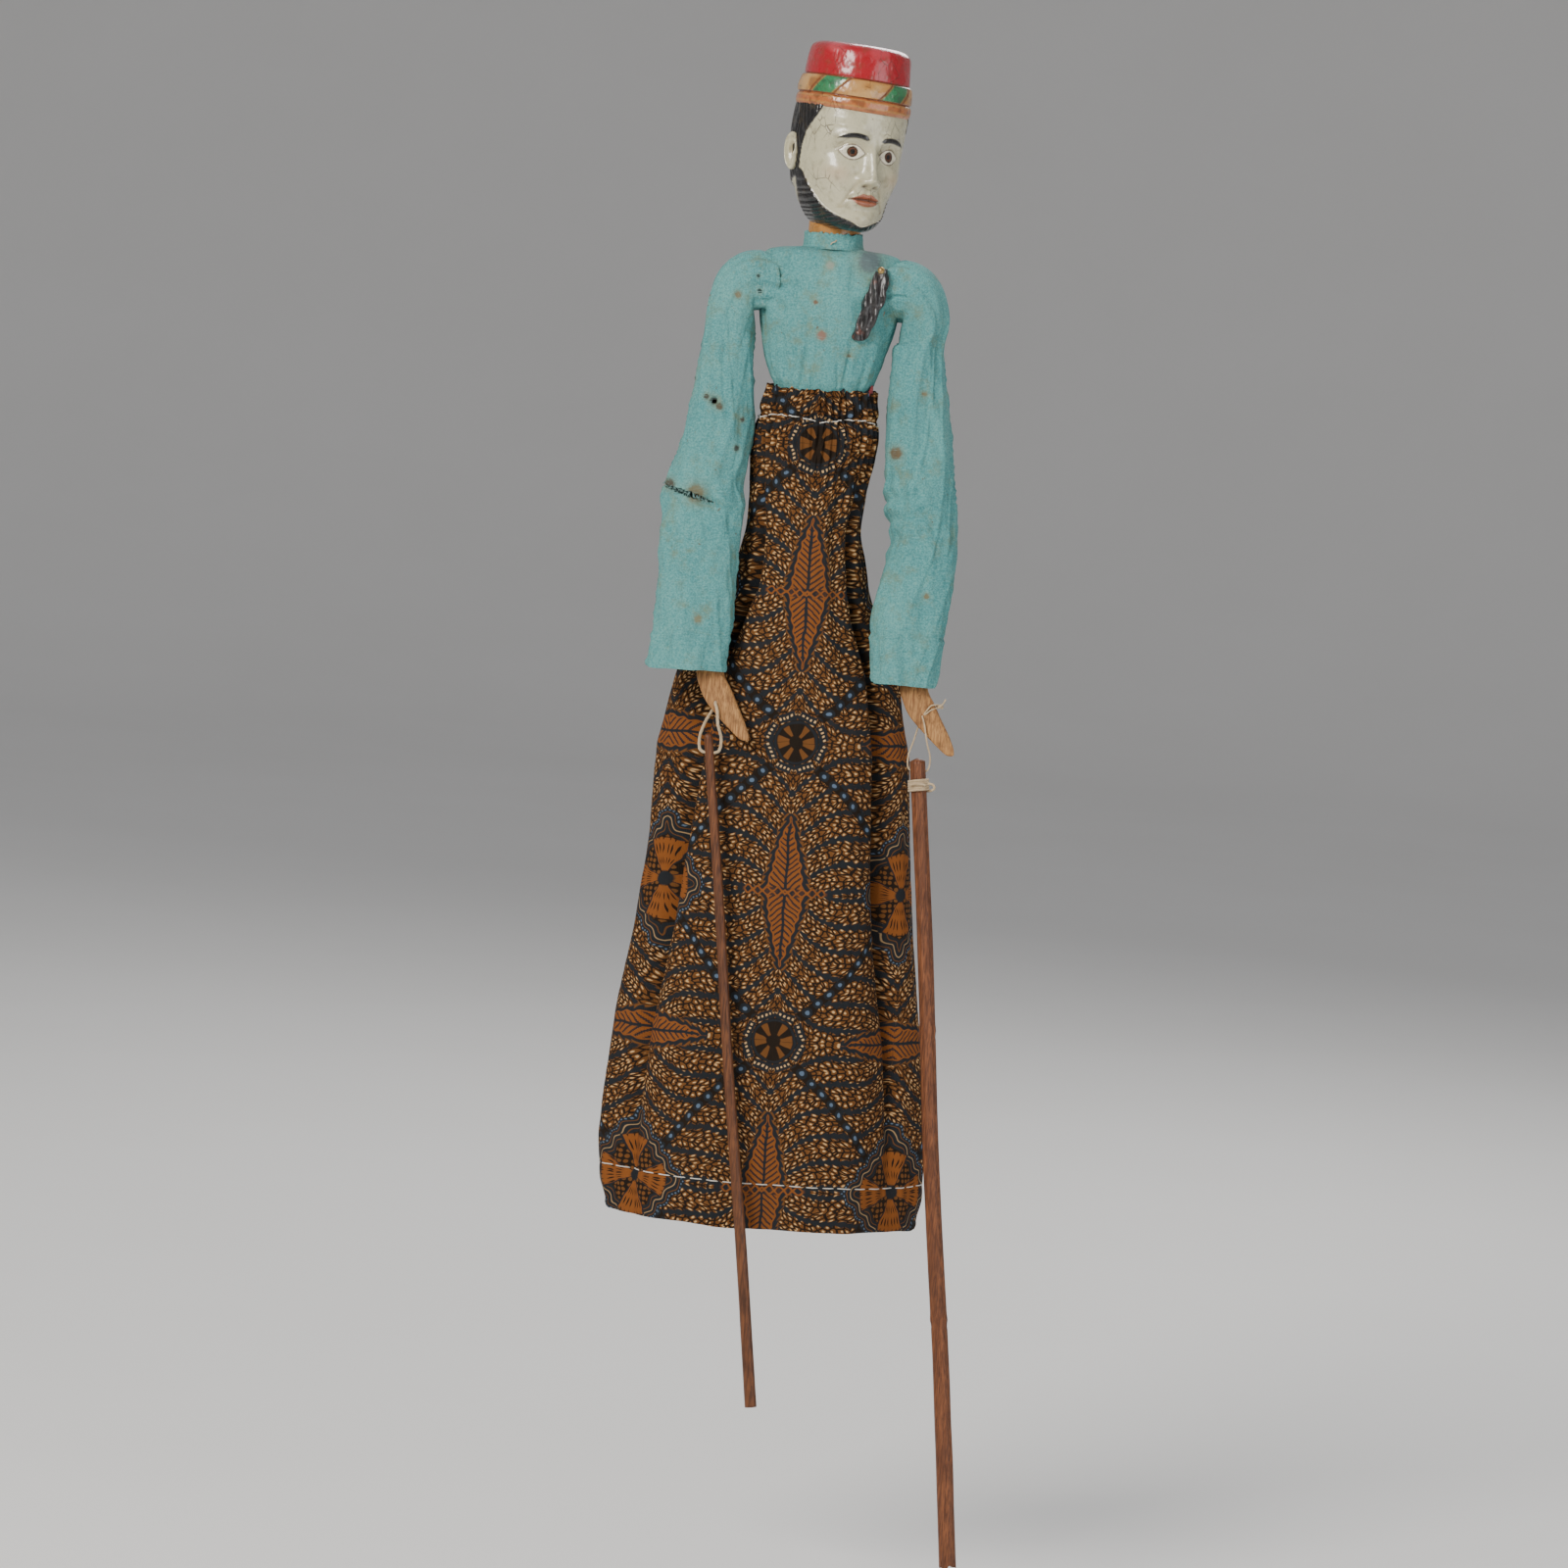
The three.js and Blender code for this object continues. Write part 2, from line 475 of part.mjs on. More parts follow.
function rodDirection(side) {
  return new THREE.Vector3(...side.rodEnd).sub(new THREE.Vector3(...side.eye)).normalize();
}

function armRod(side) {
  const eye = new THREE.Vector3(...side.eye);
  const top = eye.clone().addScaledVector(rodDirection(side), -side.rodTop);
  const hole = bar([eye.x - 12, eye.y, eye.z], [eye.x + 12, eye.y, eye.z], side.cord + 0.5,
    side.cord + 0.5);
  const [topRadius, endRadius] = side.rodRadius;
  const stick = bar(side.rodEnd, top.toArray(), endRadius, topRadius);
  piece(`${side.name}_arm_rod`, stick.subtract(hole), 'bamboo');
}

/** Turns of cord bound round the head of the left arm rod, and the knot beside the left hand. */
function leftBindings() {
  const direction = rodDirection(LEFT);
  const turn = new THREE.Quaternion().setFromUnitVectors(new THREE.Vector3(0, 0, 1), direction);
  const cord = 1.2;
  const radius = LEFT.rodRadius[0] + cord + GAP + 0.2;
  const turns = [6, 7.9, 9.8].map((down) => {
    const coil = new THREE.TorusGeometry(radius, cord, 6, 12);
    coil.applyQuaternion(turn);
    coil.translate(...new THREE.Vector3(...LEFT.eye).addScaledVector(direction, down).toArray());
    return solid(coil);
  });
  piece('left_rod_lashing', turns.reduce((whole, coil) => whole.add(coil)), 'cord');
  const palmX = along([[WRIST.z, LEFT.wristX], [283, LEFT.wristX + 6.5]], KNOT.z);
  const knot = ball([palmX + KNOT.out, armY(KNOT.z), KNOT.z], KNOT.radius, 8, [1, 0.9, 1.2]);
  piece('left_hand_knot', knot, 'cord');
}

// ---------------------------------------------------------------- assembly
controlRod();
headAndCap();
torsoAndJacket();
ornamentAndPin();
sarongAndSash();
for (const side of [RIGHT, LEFT]) {
  shoulderCord(side);
  upperArm(side);
  sleeves(side);
  forearm(side);
  handLoop(side);
  armRod(side);
}
leftBindings();

export default puppet;
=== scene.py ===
import math

import bpy
import numpy as np
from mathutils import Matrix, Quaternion, Vector


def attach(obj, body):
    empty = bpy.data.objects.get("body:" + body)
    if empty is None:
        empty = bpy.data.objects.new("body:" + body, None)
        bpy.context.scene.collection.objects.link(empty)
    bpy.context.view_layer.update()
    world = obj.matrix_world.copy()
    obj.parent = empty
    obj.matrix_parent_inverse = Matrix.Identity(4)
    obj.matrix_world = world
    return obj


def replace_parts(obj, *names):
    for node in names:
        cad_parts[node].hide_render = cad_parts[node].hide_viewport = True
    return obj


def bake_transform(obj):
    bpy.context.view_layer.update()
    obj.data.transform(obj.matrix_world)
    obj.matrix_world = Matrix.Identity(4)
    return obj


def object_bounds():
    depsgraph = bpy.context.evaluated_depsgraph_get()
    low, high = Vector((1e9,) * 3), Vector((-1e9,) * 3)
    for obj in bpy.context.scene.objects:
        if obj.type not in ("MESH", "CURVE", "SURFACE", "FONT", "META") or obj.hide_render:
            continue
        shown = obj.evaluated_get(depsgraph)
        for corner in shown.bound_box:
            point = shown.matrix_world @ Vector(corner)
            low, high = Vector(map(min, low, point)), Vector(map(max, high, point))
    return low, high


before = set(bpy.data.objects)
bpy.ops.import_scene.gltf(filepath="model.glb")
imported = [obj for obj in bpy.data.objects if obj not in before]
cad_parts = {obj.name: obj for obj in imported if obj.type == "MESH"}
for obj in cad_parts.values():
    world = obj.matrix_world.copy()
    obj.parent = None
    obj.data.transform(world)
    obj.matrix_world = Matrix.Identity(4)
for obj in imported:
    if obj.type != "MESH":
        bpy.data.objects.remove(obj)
CAD_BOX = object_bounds()

MM = 0.001
BACK, FRONT = 90, 270


# ------------------------------------------------------------------ numbers and noise
def table(rows, at, soften=5.0):
    """Smooth curve through (position, value) rows, evaluated at an array of positions."""
    rows = sorted(rows)
    xs = np.array([r[0] for r in rows], float)
    ys = np.array([r[1] for r in rows], float)
    at = np.asarray(at, float)
    total = np.zeros_like(at)
    weight_sum = 0.0
    for step in (-1.5, -1.0, -0.5, 0.0, 0.5, 1.0, 1.5):
        weight = math.exp(-step * step)
        total += weight * np.interp(at + step * soften, xs, ys)
        weight_sum += weight
    return total / weight_sum


def smoothstep(low, high, value):
    t = np.clip((value - low) / (high - low), 0.0, 1.0)
    return t * t * (3 - 2 * t)


def bump(value, centre, width):
    return np.exp(-(((value - centre) / width) ** 2))


def ring_turns(count):
    """Degrees once round the puppet, from its back."""
    return np.linspace(BACK, BACK + 360, count + 1)[:-1]


def ring_angles(count):
    """Radians once round a small part, from its left, as a row."""
    return np.linspace(0, 2 * math.pi, count + 1)[None, :-1]


def circle(turns):
    """Cosine and sine of turns in degrees, as rows."""
    return np.cos(np.radians(turns))[None, :], np.sin(np.radians(turns))[None, :]


def rounded_square(turns, power):
    """Cosine and sine of each turn in radians, both stretched so that a ring is squared off."""
    c, s = np.cos(turns), np.sin(turns)
    bulge = (np.abs(c) ** power + np.abs(s) ** power) ** (-1 / power)
    return c * bulge, s * bulge


def spot(across, wide, up, tall):
    """One at the origin, falling off as an oval."""
    return np.exp(-((across / wide) ** 2) - (up / tall) ** 2)


def flat_size(grid):
    """Mean width round a tube of cloth and mean length along it, in metres."""
    around = np.linalg.norm(np.diff(grid, axis=1, append=grid[:, :1]), axis=2).sum(1).mean()
    along = np.linalg.norm(np.diff(grid, axis=0), axis=2).sum(0).mean()
    return round(float(around) * MM, 3), round(float(along) * MM, 3)


class Noise:
    """Smooth random field on a plane, from -1 to 1, the same on every run."""

    def __init__(self, seed):
        self.grid = np.random.default_rng(seed).uniform(-1, 1, (64, 64))

    def __call__(self, x, y):
        x, y = np.broadcast_arrays(np.asarray(x, float), np.asarray(y, float))
        xi, yi = np.floor(x).astype(int), np.floor(y).astype(int)
        xf, yf = x - xi, y - yi
        xf, yf = xf * xf * (3 - 2 * xf), yf * yf * (3 - 2 * yf)
        g = self.grid
        a, b = g[xi % 64, yi % 64], g[(xi + 1) % 64, yi % 64]
        c, d = g[xi % 64, (yi + 1) % 64], g[(xi + 1) % 64, (yi + 1) % 64]
        return (a * (1 - xf) + b * xf) * (1 - yf) + (c * (1 - xf) + d * xf) * yf


# ------------------------------------------------------------------ mesh builders (points in mm)
def make_object(name, points, faces, uvs=None, colours=None):
    """Mesh object from points in millimetres. uvs is one pair for each face corner, in metres."""
    mesh = bpy.data.meshes.new(name)
    mesh.from_pydata((np.asarray(points) * MM).tolist(), [], faces)
    if uvs is not None:
        layer = mesh.uv_layers.new(name="cloth")
        layer.data.foreach_set("uv", np.asarray(uvs, np.float32).ravel())
    if colours is not None:
        attribute = mesh.color_attributes.new("paint", "FLOAT_COLOR", "POINT")
        full = np.ones((len(colours), 4), np.float32)
        full[:, :3] = colours
        attribute.data.foreach_set("color", full.ravel())
    rest = mesh.attributes.new("rest", "FLOAT_VECTOR", "POINT")
    rest.data.foreach_set("vector", (np.asarray(points) * MM).astype(np.float32).ravel())
    mesh.polygons.foreach_set("use_smooth", [True] * len(mesh.polygons))
    mesh.validate()
    mesh.update()
    obj = bpy.data.objects.new(name, mesh)
    bpy.context.scene.collection.objects.link(obj)
    return obj


def grid_faces(rows, cols, offset=0, flip=False):
    """Quads of a grid closed round its columns, with the matching corner indices for UVs."""
    r, c = np.meshgrid(np.arange(rows - 1), np.arange(cols), indexing="ij")
    nxt = (c + 1) % cols
    quads = np.stack([r * cols + c, r * cols + nxt, (r + 1) * cols + nxt, (r + 1) * cols + c], -1)
    wide = cols + 1
    corners = np.stack([r * wide + c, r * wide + c + 1, (r + 1) * wide + c + 1, (r + 1) * wide + c], -1)
    if flip:
        quads, corners = quads[..., ::-1], corners[..., ::-1]
    return quads.reshape(-1, 4) + offset, corners.reshape(-1, 4)


def grid_normals(grid):
    around = np.roll(grid, -1, 1) - np.roll(grid, 1, 1)
    along = np.gradient(grid, axis=0)
    normal = np.cross(around, along)
    return normal / np.maximum(np.linalg.norm(normal, axis=2, keepdims=True), 1e-9)


def shell(name, grid, thickness, uv, holes=None):
    """Closed sheet of cloth with a thickness, from a grid of points closed round its columns.
    The grid's points turn counter-clockwise from above and its rows go up. uv has one more column.
    holes is True for each quad that is torn away. Rims have their own points, so they stay crisp."""
    rows, cols = grid.shape[:2]
    keep = np.ones((rows - 1, cols), bool) if holes is None else ~holes
    inner = grid - grid_normals(grid) * thickness
    count = rows * cols
    faces_out, corners_out = grid_faces(rows, cols)
    faces_in, corners_in = grid_faces(rows, cols, count, flip=True)
    kept = keep.ravel()
    wide = cols + 1
    first, place = [], []
    padded = np.zeros((rows + 1, cols), bool)
    padded[1:-1] = keep
    for r, c in np.argwhere(padded[1:] != padded[:-1]):
        nxt = (c + 1) % cols
        ends = (r * cols + c, r * cols + nxt)
        first.append(ends if padded[r + 1, c] else ends[::-1])
        place.append((r * wide + c, r * wide + c + 1))
    for r, c in np.argwhere(keep != np.roll(keep, 1, 1)):
        ends = (r * cols + c, (r + 1) * cols + c)
        first.append(ends[::-1] if keep[r, c] else ends)
        place.append((r * wide + c, (r + 1) * wide + c))
    first = np.array(first)
    outer_points, inner_points = grid.reshape(-1, 3), inner.reshape(-1, 3)
    rim = np.stack([inner_points[first[:, 0]], inner_points[first[:, 1]],
                    outer_points[first[:, 1]], outer_points[first[:, 0]]], 1)
    faces_rim = np.arange(len(first) * 4).reshape(-1, 4) + 2 * count
    place = np.array(place)
    corners_rim = np.stack([place[:, 0], place[:, 1], place[:, 1], place[:, 0]], -1)
    flat = uv.reshape(-1, 2)
    corners = np.concatenate([corners_out[kept], corners_in[kept], corners_rim])
    uvs = flat[corners].reshape(-1, 2)
    faces = np.concatenate([faces_out[kept], faces_in[kept], faces_rim]).tolist()
    points = np.concatenate([outer_points, inner_points, rim.reshape(-1, 3)])
    return make_object(name, points, faces, uvs)


def solid_grid(name, grid, colours=None, uv=None):
    """Closed solid from a grid of points closed round its columns, with a cap at each end."""
    rows, cols = grid.shape[:2]
    points = np.concatenate([grid.reshape(-1, 3), grid[:1].mean(1), grid[-1:].mean(1)])
    quads, corners = grid_faces(rows, cols)
    faces = quads.tolist()
    low, high = rows * cols, rows * cols + 1
    last = (rows - 1) * cols
    for c in range(cols):
        nxt = (c + 1) % cols
        faces.append([low, nxt, c])
    for c in range(cols):
        nxt = (c + 1) % cols
        faces.append([high, last + c, last + nxt])
    if colours is not None:
        flat = colours.reshape(-1, 3)
        colours = np.concatenate([flat, colours[:1].mean(1), colours[-1:].mean(1)])
    uvs = None
    if uv is not None:
        flat = uv.reshape(-1, 2)
        caps = np.zeros((cols * 3 * 2, 2))
        caps[: cols * 3] = flat[0]
        caps[cols * 3:] = flat[-1]
        uvs = np.concatenate([flat[corners].reshape(-1, 2), caps])
    return make_object(name, points, faces, uvs, colours)


def path_frames(points, closed):
    """Tangent and two steady cross directions along a path."""
    if closed:
        tangent = np.roll(points, -1, 0) - np.roll(points, 1, 0)
    else:
        tangent = np.gradient(points, axis=0)
    tangent /= np.linalg.norm(tangent, axis=1, keepdims=True)
    side = np.cross(tangent[0], [0.13, 0.31, 0.94])
    sides = []
    for t in tangent:
        side = side - t * side.dot(t)
        side = side / np.linalg.norm(side)
        sides.append(side)
    sides = np.array(sides)
    return tangent, sides, np.cross(tangent, sides)


def smooth_path(points, steps, closed=False):
    """Catmull-Rom curve through given points."""
    p = np.array(points, float)
    count = len(p) if closed else len(p) - 1
    out = []
    for i in range(count):
        if closed:
            p0, p1, p2, p3 = (p[(i + k) % len(p)] for k in (-1, 0, 1, 2))
        else:
            p0, p1 = p[max(i - 1, 0)], p[i]
            p2, p3 = p[i + 1], p[min(i + 2, len(p) - 1)]
        for t in np.arange(steps) / steps:
            out.append(0.5 * (2 * p1 + (p2 - p0) * t + (2 * p0 - 5 * p1 + 4 * p2 - p3) * t * t
                              + (3 * p1 - 3 * p2 + p3 - p0) * t ** 3))
    if not closed:
        out.append(p[-1])
    return np.array(out)


def cord(name, path, radius, closed=False, strands=3, lay=9.0, around=18, flat=1.0):
    """Twisted cord along a path. Its strands turn once in each lay, counted in radii."""
    _, side, up = path_frames(path, closed)
    step = np.linalg.norm(np.diff(path, axis=0, append=path[:1]), axis=1)
    run = np.concatenate([[0.0], np.cumsum(step)[:-1]])
    turn = 2 * math.pi * np.arange(around) / around
    if closed:
        turns = max(1, round(np.sum(step) / (lay * radius)))
        twist = 2 * math.pi * turns * run / np.sum(step)
    else:
        twist = 2 * math.pi * run / (lay * radius)
    ridge = 1 - 0.16 * np.abs(np.sin(strands * 0.5 * (turn[None, :] - twist[:, None])))
    r = radius * ridge
    grid = (path[:, None, :] + r[..., None] * (np.cos(turn)[None, :, None] * side[:, None, :]
            + flat * np.sin(turn)[None, :, None] * up[:, None, :]))
    if not closed:
        return solid_grid(name, grid)
    rows, cols = grid.shape[:2]
    points = grid.reshape(-1, 3)
    faces = []
    for i in range(rows):
        for j in range(cols):
            k, m = (i + 1) % rows, (j + 1) % cols
            faces.append([i * cols + j, i * cols + m, k * cols + m, k * cols + j])
    return make_object(name, points, faces)


def joined(name, objects):
    """One object from several, each still its own closed mesh."""
    points, faces, start = [], [], 0
    for obj in objects:
        points += [tuple(v.co / MM) for v in obj.data.vertices]
        faces += [[start + i for i in p.vertices] for p in obj.data.polygons]
        start += len(obj.data.vertices)
        bpy.data.objects.remove(obj)
    return make_object(name, points, faces)


# ------------------------------------------------------------------ shader arithmetic
def srgb(r, g, b):
    return tuple(((c / 255) / 12.92 if c <= 10 else ((c / 255 + 0.055) / 1.055) ** 2.4)
                 for c in (r, g, b)) + (1.0,)


def feed(tree, socket, value):
    """Give a socket a plain value, or link it to a value worked out by nodes."""
    if isinstance(value, Shade):
        tree.links.new(value.socket, socket)
    else:
        socket.default_value = value


class Shade:
    """A value in a material's node tree. Ordinary arithmetic on it adds math nodes."""

    def __init__(self, tree, socket):
        self.tree = tree
        self.socket = socket

    def math(self, operation, *others):
        node = self.tree.nodes.new("ShaderNodeMath")
        node.operation = operation
        for index, value in enumerate((self, *others)):
            feed(self.tree, node.inputs[index], value)
        return Shade(self.tree, node.outputs[0])

    def __add__(self, other):
        return self.math("ADD", other)

    def __sub__(self, other):
        return self.math("SUBTRACT", other)

    def __mul__(self, other):
        return self.math("MULTIPLY", other)

    def __truediv__(self, other):
        return self.math("DIVIDE", other)

    def __neg__(self):
        return self * -1.0

    def flip(self):
        """One minus the value."""
        return (-self) + 1.0

    def abs(self):
        return self.math("ABSOLUTE")

    def sin(self):
        return self.math("SINE")

    def root(self):
        return self.math("MAXIMUM", 0.0).math("SQRT")

    def wrapped(self, period):
        """Distance to the nearest multiple of the period, with its sign."""
        half = period / 2
        return self.math("WRAP", half, -half)

    def step(self, low, high):
        """Smooth step from 0 at low to 1 at high."""
        node = self.tree.nodes.new("ShaderNodeMapRange")
        node.interpolation_type = "SMOOTHSTEP"
        self.tree.links.new(self.socket, node.inputs["Value"])
        ends = ((low, 0.0), (high, 1.0)) if low < high else ((high, 1.0), (low, 0.0))
        for end, (start, result) in zip(("Min", "Max"), ends):
            node.inputs[f"From {end}"].default_value = start
            node.inputs[f"To {end}"].default_value = result
        return Shade(self.tree, node.outputs["Result"])

    def band(self, low, high, soft):
        """One between low and high, zero outside."""
        return self.step(low - soft, low + soft) * self.step(high + soft, high - soft)

    def below(self, edge, soft):
        return self.step(edge + soft, edge - soft)


class Material:
    """A Principled material with short calls for its textures."""

    def __init__(self, name):
        self.data = bpy.data.materials.new(name)
        self.data.use_nodes = True
        self.tree = self.data.node_tree
        self.shader = self.tree.nodes["Principled BSDF"]

    def set(self, **values):
        for key, value in values.items():
            self.shader.inputs[key.replace("_", " ")].default_value = value
        return self

    def node(self, kind, **inputs):
        node = self.tree.nodes.new(kind)
        for key, value in inputs.items():
            feed(self.tree, node.inputs[key], value)
        return node

    def in_mm(self, metres):
        split = self.tree.nodes.new("ShaderNodeSeparateXYZ")
        self.tree.links.new(metres, split.inputs[0])
        return [Shade(self.tree, split.outputs[i]) * 1000.0 for i in range(3)]

    def room(self):
        """Place on the piece as one vector, in millimetres."""
        return self.vector(*self.where())

    def where(self, kind="Object"):
        """Texture coordinates, as x, y, z values in millimetres."""
        return self.in_mm(self.tree.nodes.new("ShaderNodeTexCoord").outputs[kind])

    def rest(self):
        """Place on the piece before any joint moves it, as x, y, z values in millimetres."""
        node = self.tree.nodes.new("ShaderNodeAttribute")
        node.attribute_name = "rest"
        return self.in_mm(node.outputs["Vector"])

    def vector(self, x, y, z=0.0):
        node = self.tree.nodes.new("ShaderNodeCombineXYZ")
        for index, value in enumerate((x, y, z)):
            feed(self.tree, node.inputs[index], value)
        return Shade(self.tree, node.outputs[0])

    def noise(self, place, size, detail=3.0, rough=0.55, distort=0.0):
        """Noise from 0 to 1 whose blobs are about size millimetres."""
        node = self.node("ShaderNodeTexNoise", Vector=place, Scale=1.0 / size, Detail=detail,
                         Roughness=rough, Distortion=distort)
        return Shade(self.tree, node.outputs[0])

    def cells(self, place, size, feature="F1", random=1.0):
        node = self.tree.nodes.new("ShaderNodeTexVoronoi")
        node.feature = feature
        node.voronoi_dimensions = "2D"
        self.tree.links.new(place.socket, node.inputs["Vector"])
        node.inputs["Scale"].default_value = 1.0 / size
        node.inputs["Randomness"].default_value = random
        return Shade(self.tree, node.outputs["Distance"])

    def mix(self, amount, a, b):
        """Colour a where amount is 0 and b where it is 1."""
        node = self.tree.nodes.new("ShaderNodeMix")
        node.data_type = "RGBA"
        for index, value in ((0, amount), (6, a), (7, b)):
            feed(self.tree, node.inputs[index], value)
        return Shade(self.tree, node.outputs[2])

    def start(self, colour):
        """The first layer of the base colour."""
        self.tone = colour
        self.tree.links.new(colour.socket, self.shader.inputs["Base Color"])

    def lay(self, amount, colour):
        """Lay another colour over the base colour where amount is 1."""
        self.start(self.mix(amount, self.tone, colour))

    def attribute(self, name):
        node = self.tree.nodes.new("ShaderNodeAttribute")
        node.attribute_name = name
        return Shade(self.tree, node.outputs["Color"])

    def rough(self, value):
        self.tree.links.new(value.socket, self.shader.inputs["Roughness"])

    def relief(self, height, depth):
        """Bump, where height is in units of depth millimetres."""
        node = self.node("ShaderNodeBump", Height=height, Distance=depth * MM, Strength=1.0)
        self.tree.links.new(node.outputs[0], self.shader.inputs["Normal"])


def weave(u, v, pitch):
    """Plain weave of a thread pitch in millimetres: height from 0 to 1."""
    step = math.pi / pitch
    warp = (u * step).sin().abs()
    weft = (v * step).sin().abs()
    over = ((u * step * 0.5).sin() * (v * step * 0.5).sin()).step(-0.15, 0.15)
    return warp * over + weft * over.flip()


# ------------------------------------------------------------------ materials
# Stains, and near-black spots painted as the shade inside a torn hole and a parted seam, on the front of
# the jacket and sleeves: x, z, radius in mm and colour.
STAINS_AND_HOLE_SHADE = [
    (-3, 500, 2.6, (146, 104, 86)), (-63.7, 457, 2.4, (44, 34, 24)), (-68, 459, 1.6, (72, 54, 36)),
    (-60, 454, 2.0, (92, 72, 48)), (46, 434, 3.4, (112, 82, 46)), (22, 545, 6.5, (96, 104, 106)),
    (-77, 469, 1.5, (70, 52, 36)), (-48, 430, 1.5, (62, 48, 34)), (-46, 447, 1.3, (80, 60, 42)),
    (-54, 520, 2.0, (128, 112, 80)), (-8, 519, 1.2, (120, 84, 60)), (14, 489, 1.0, (104, 84, 60)),
    (60, 470, 1.4, (124, 110, 78)), (-70, 402, 5.0, (118, 106, 74)), (-86, 406, 3.0, (84, 64, 44)),
    (-42.8, 532, 1.0, (46, 48, 42)), (-41.4, 523, 1.4, (36, 36, 32)),
    (-1, 541, 2.2, (150, 156, 140)), (-63, 329, 2.2, (130, 124, 92)), (70, 352, 1.6, (122, 108, 74)),
]


def teal_cotton():
    m = Material("aged_teal_cotton").set(Roughness=0.95, Specular_IOR_Level=0.2, Sheen_Weight=0.04)
    u, v, _ = m.where("UV")
    x, y, z = m.rest()
    room = m.vector(x, y, z)
    faded = m.noise(room, 44.0, 4.0, 0.6)
    m.start(m.mix(faded.step(0.3, 0.75), srgb(82, 148, 148), srgb(102, 166, 162)))
    streaks = m.noise(m.vector(u * 1.0, v * 0.12), 1.5, 5.0, 0.65)
    m.lay(streaks.step(0.46, 0.72) * 0.4, srgb(62, 120, 126))
    mottled = m.noise(room, 1.1, 4.0, 0.7)
    m.lay(mottled.step(0.42, 0.68) * 0.6, srgb(136, 190, 180))
    m.lay(mottled.step(0.5, 0.3) * 0.5, srgb(54, 106, 110))
    grime = m.noise(room, 13.0, 6.0, 0.72)
    m.lay(grime.step(0.5, 0.72) * 0.75, srgb(122, 134, 102))
    spots = m.noise(room, 3.6, 3.0, 0.6)
    m.lay(spots.step(0.69, 0.74) * 0.8, srgb(104, 78, 50))
    edge = (m.noise(room, 1.6, 3.0, 0.6) - 0.5) * 2.6
    front = y.step(2.0, -4.0)
    # Each stain with a faint tide mark round it; the near-black spots are painted shade in a hole and a
    # parted seam.
    for at_x, at_z, radius, colour in STAINS_AND_HOLE_SHADE:
        away = ((x - at_x) * (x - at_x) + (z - at_z) * (z - at_z)).root() + edge * (0.25 * radius + 0.4)
        m.lay(away.below(radius * 1.6, radius * 0.9) * front * 0.35, srgb(138, 132, 92))
        m.lay(away.below(radius, radius * 0.35) * front * 0.9, srgb(*colour))
    threads = weave(u, v, 0.62)
    slub = m.noise(m.vector(u * 0.2, v * 2.2), 1.3, 2.0)
    # Darker teal between the threads, where the weave's relief is low: painted shade in the weave.
    m.lay(threads.flip() * 0.42, srgb(40, 92, 100))
    m.lay(slub.step(0.52, 0.8) * 0.3, srgb(150, 206, 202))
    m.relief(threads * 0.7 + slub * 0.6, 0.2)
    return m.data


# The print repeats every 166 by 176 mm and mirrors about both middles.
BATIK_WIDE, BATIK_TALL, BATIK_SHIFT = 166.0, 176.0, 92.0
BATIK_INK = {
    "ground": srgb(22, 18, 15), "ochre": srgb(108, 68, 33), "orange": srgb(132, 76, 32),
    "cream": srgb(206, 168, 118), "indigo": srgb(24, 33, 40), "blue": srgb(88, 108, 130),
}


def batik_grains(m, x, y):
    """Feathered grains on both sides of curved stems."""
    flow = x * 0.42 + y * 0.78 + (x * 0.075).sin() * 6.0
    across = flow.wrapped(12.0).abs()
    along = x * 0.78 - y * 0.42
    grain_place = m.vector(across, (along - across * 0.8) * 0.74)
    grain = m.cells(grain_place, 2.45, random=0.8)
    edge = m.cells(grain_place, 2.45, "DISTANCE_TO_EDGE", 0.8)
    m.start(m.mix(edge.step(0.1, 0.17), BATIK_INK["ground"], BATIK_INK["ochre"]))
    m.lay(grain.below(0.2, 0.08) * edge.step(0.19, 0.27), BATIK_INK["cream"])
    barbs = ((along - across * 1.4) * 1.5).sin() * 0.45
    m.lay((across + barbs).below(1.3, 0.3), BATIK_INK["indigo"])


def batik_beads(m, x, y):
    """Chain of dark beads on the diagonal."""
    slant = (y * (BATIK_WIDE / BATIK_TALL) - x) * 0.72 + (x * 0.045).sin() * 5.0 - 3.0
    run = (x + y).wrapped(12.0)
    bead = ((run / 4.6) * (run / 4.6) + (slant / 2.5) * (slant / 2.5)).root()
    on_chain = (x + y).step(26.0, 28.0)
    m.lay(slant.abs().below(2.6, 0.3) * on_chain, BATIK_INK["ground"])
    m.lay(bead.below(1.0, 0.1) * on_chain, BATIK_INK["indigo"])
    m.lay(bead.below(0.42, 0.1) * on_chain, BATIK_INK["blue"])


def batik_leaf(m, far, side, length, fat):
    """Half of a leaf pair: far runs along it from its tip, side across it."""
    t = far / length
    half = t.flip() * (t * 0.5 + 1.0) * fat + (far * 0.9).sin() * 0.5
    gap = side - half
    inside = far.band(0.0, length + 2.0, 0.2)
    m.lay(gap.below(3.6, 0.5) * inside, BATIK_INK["ochre"])
    serrated = ((far + side) * 1.9).sin() * 0.7
    m.lay((gap + serrated).below(2.6, 0.35) * inside, BATIK_INK["indigo"])
    m.lay(gap.below(0.0, 0.3) * inside, BATIK_INK["orange"])
    chevron = ((far - side * 0.85) * 1.75).sin() + (far * 4.0 + side * 5.0).sin() * 0.35
    veins = chevron.step(0.2, 0.6) * gap.below(-0.9, 0.3)
    m.lay(veins * inside * 0.95, BATIK_INK["indigo"])
    m.lay(side.below(0.8, 0.3) * gap.below(-0.6, 0.3) * inside, BATIK_INK["indigo"])


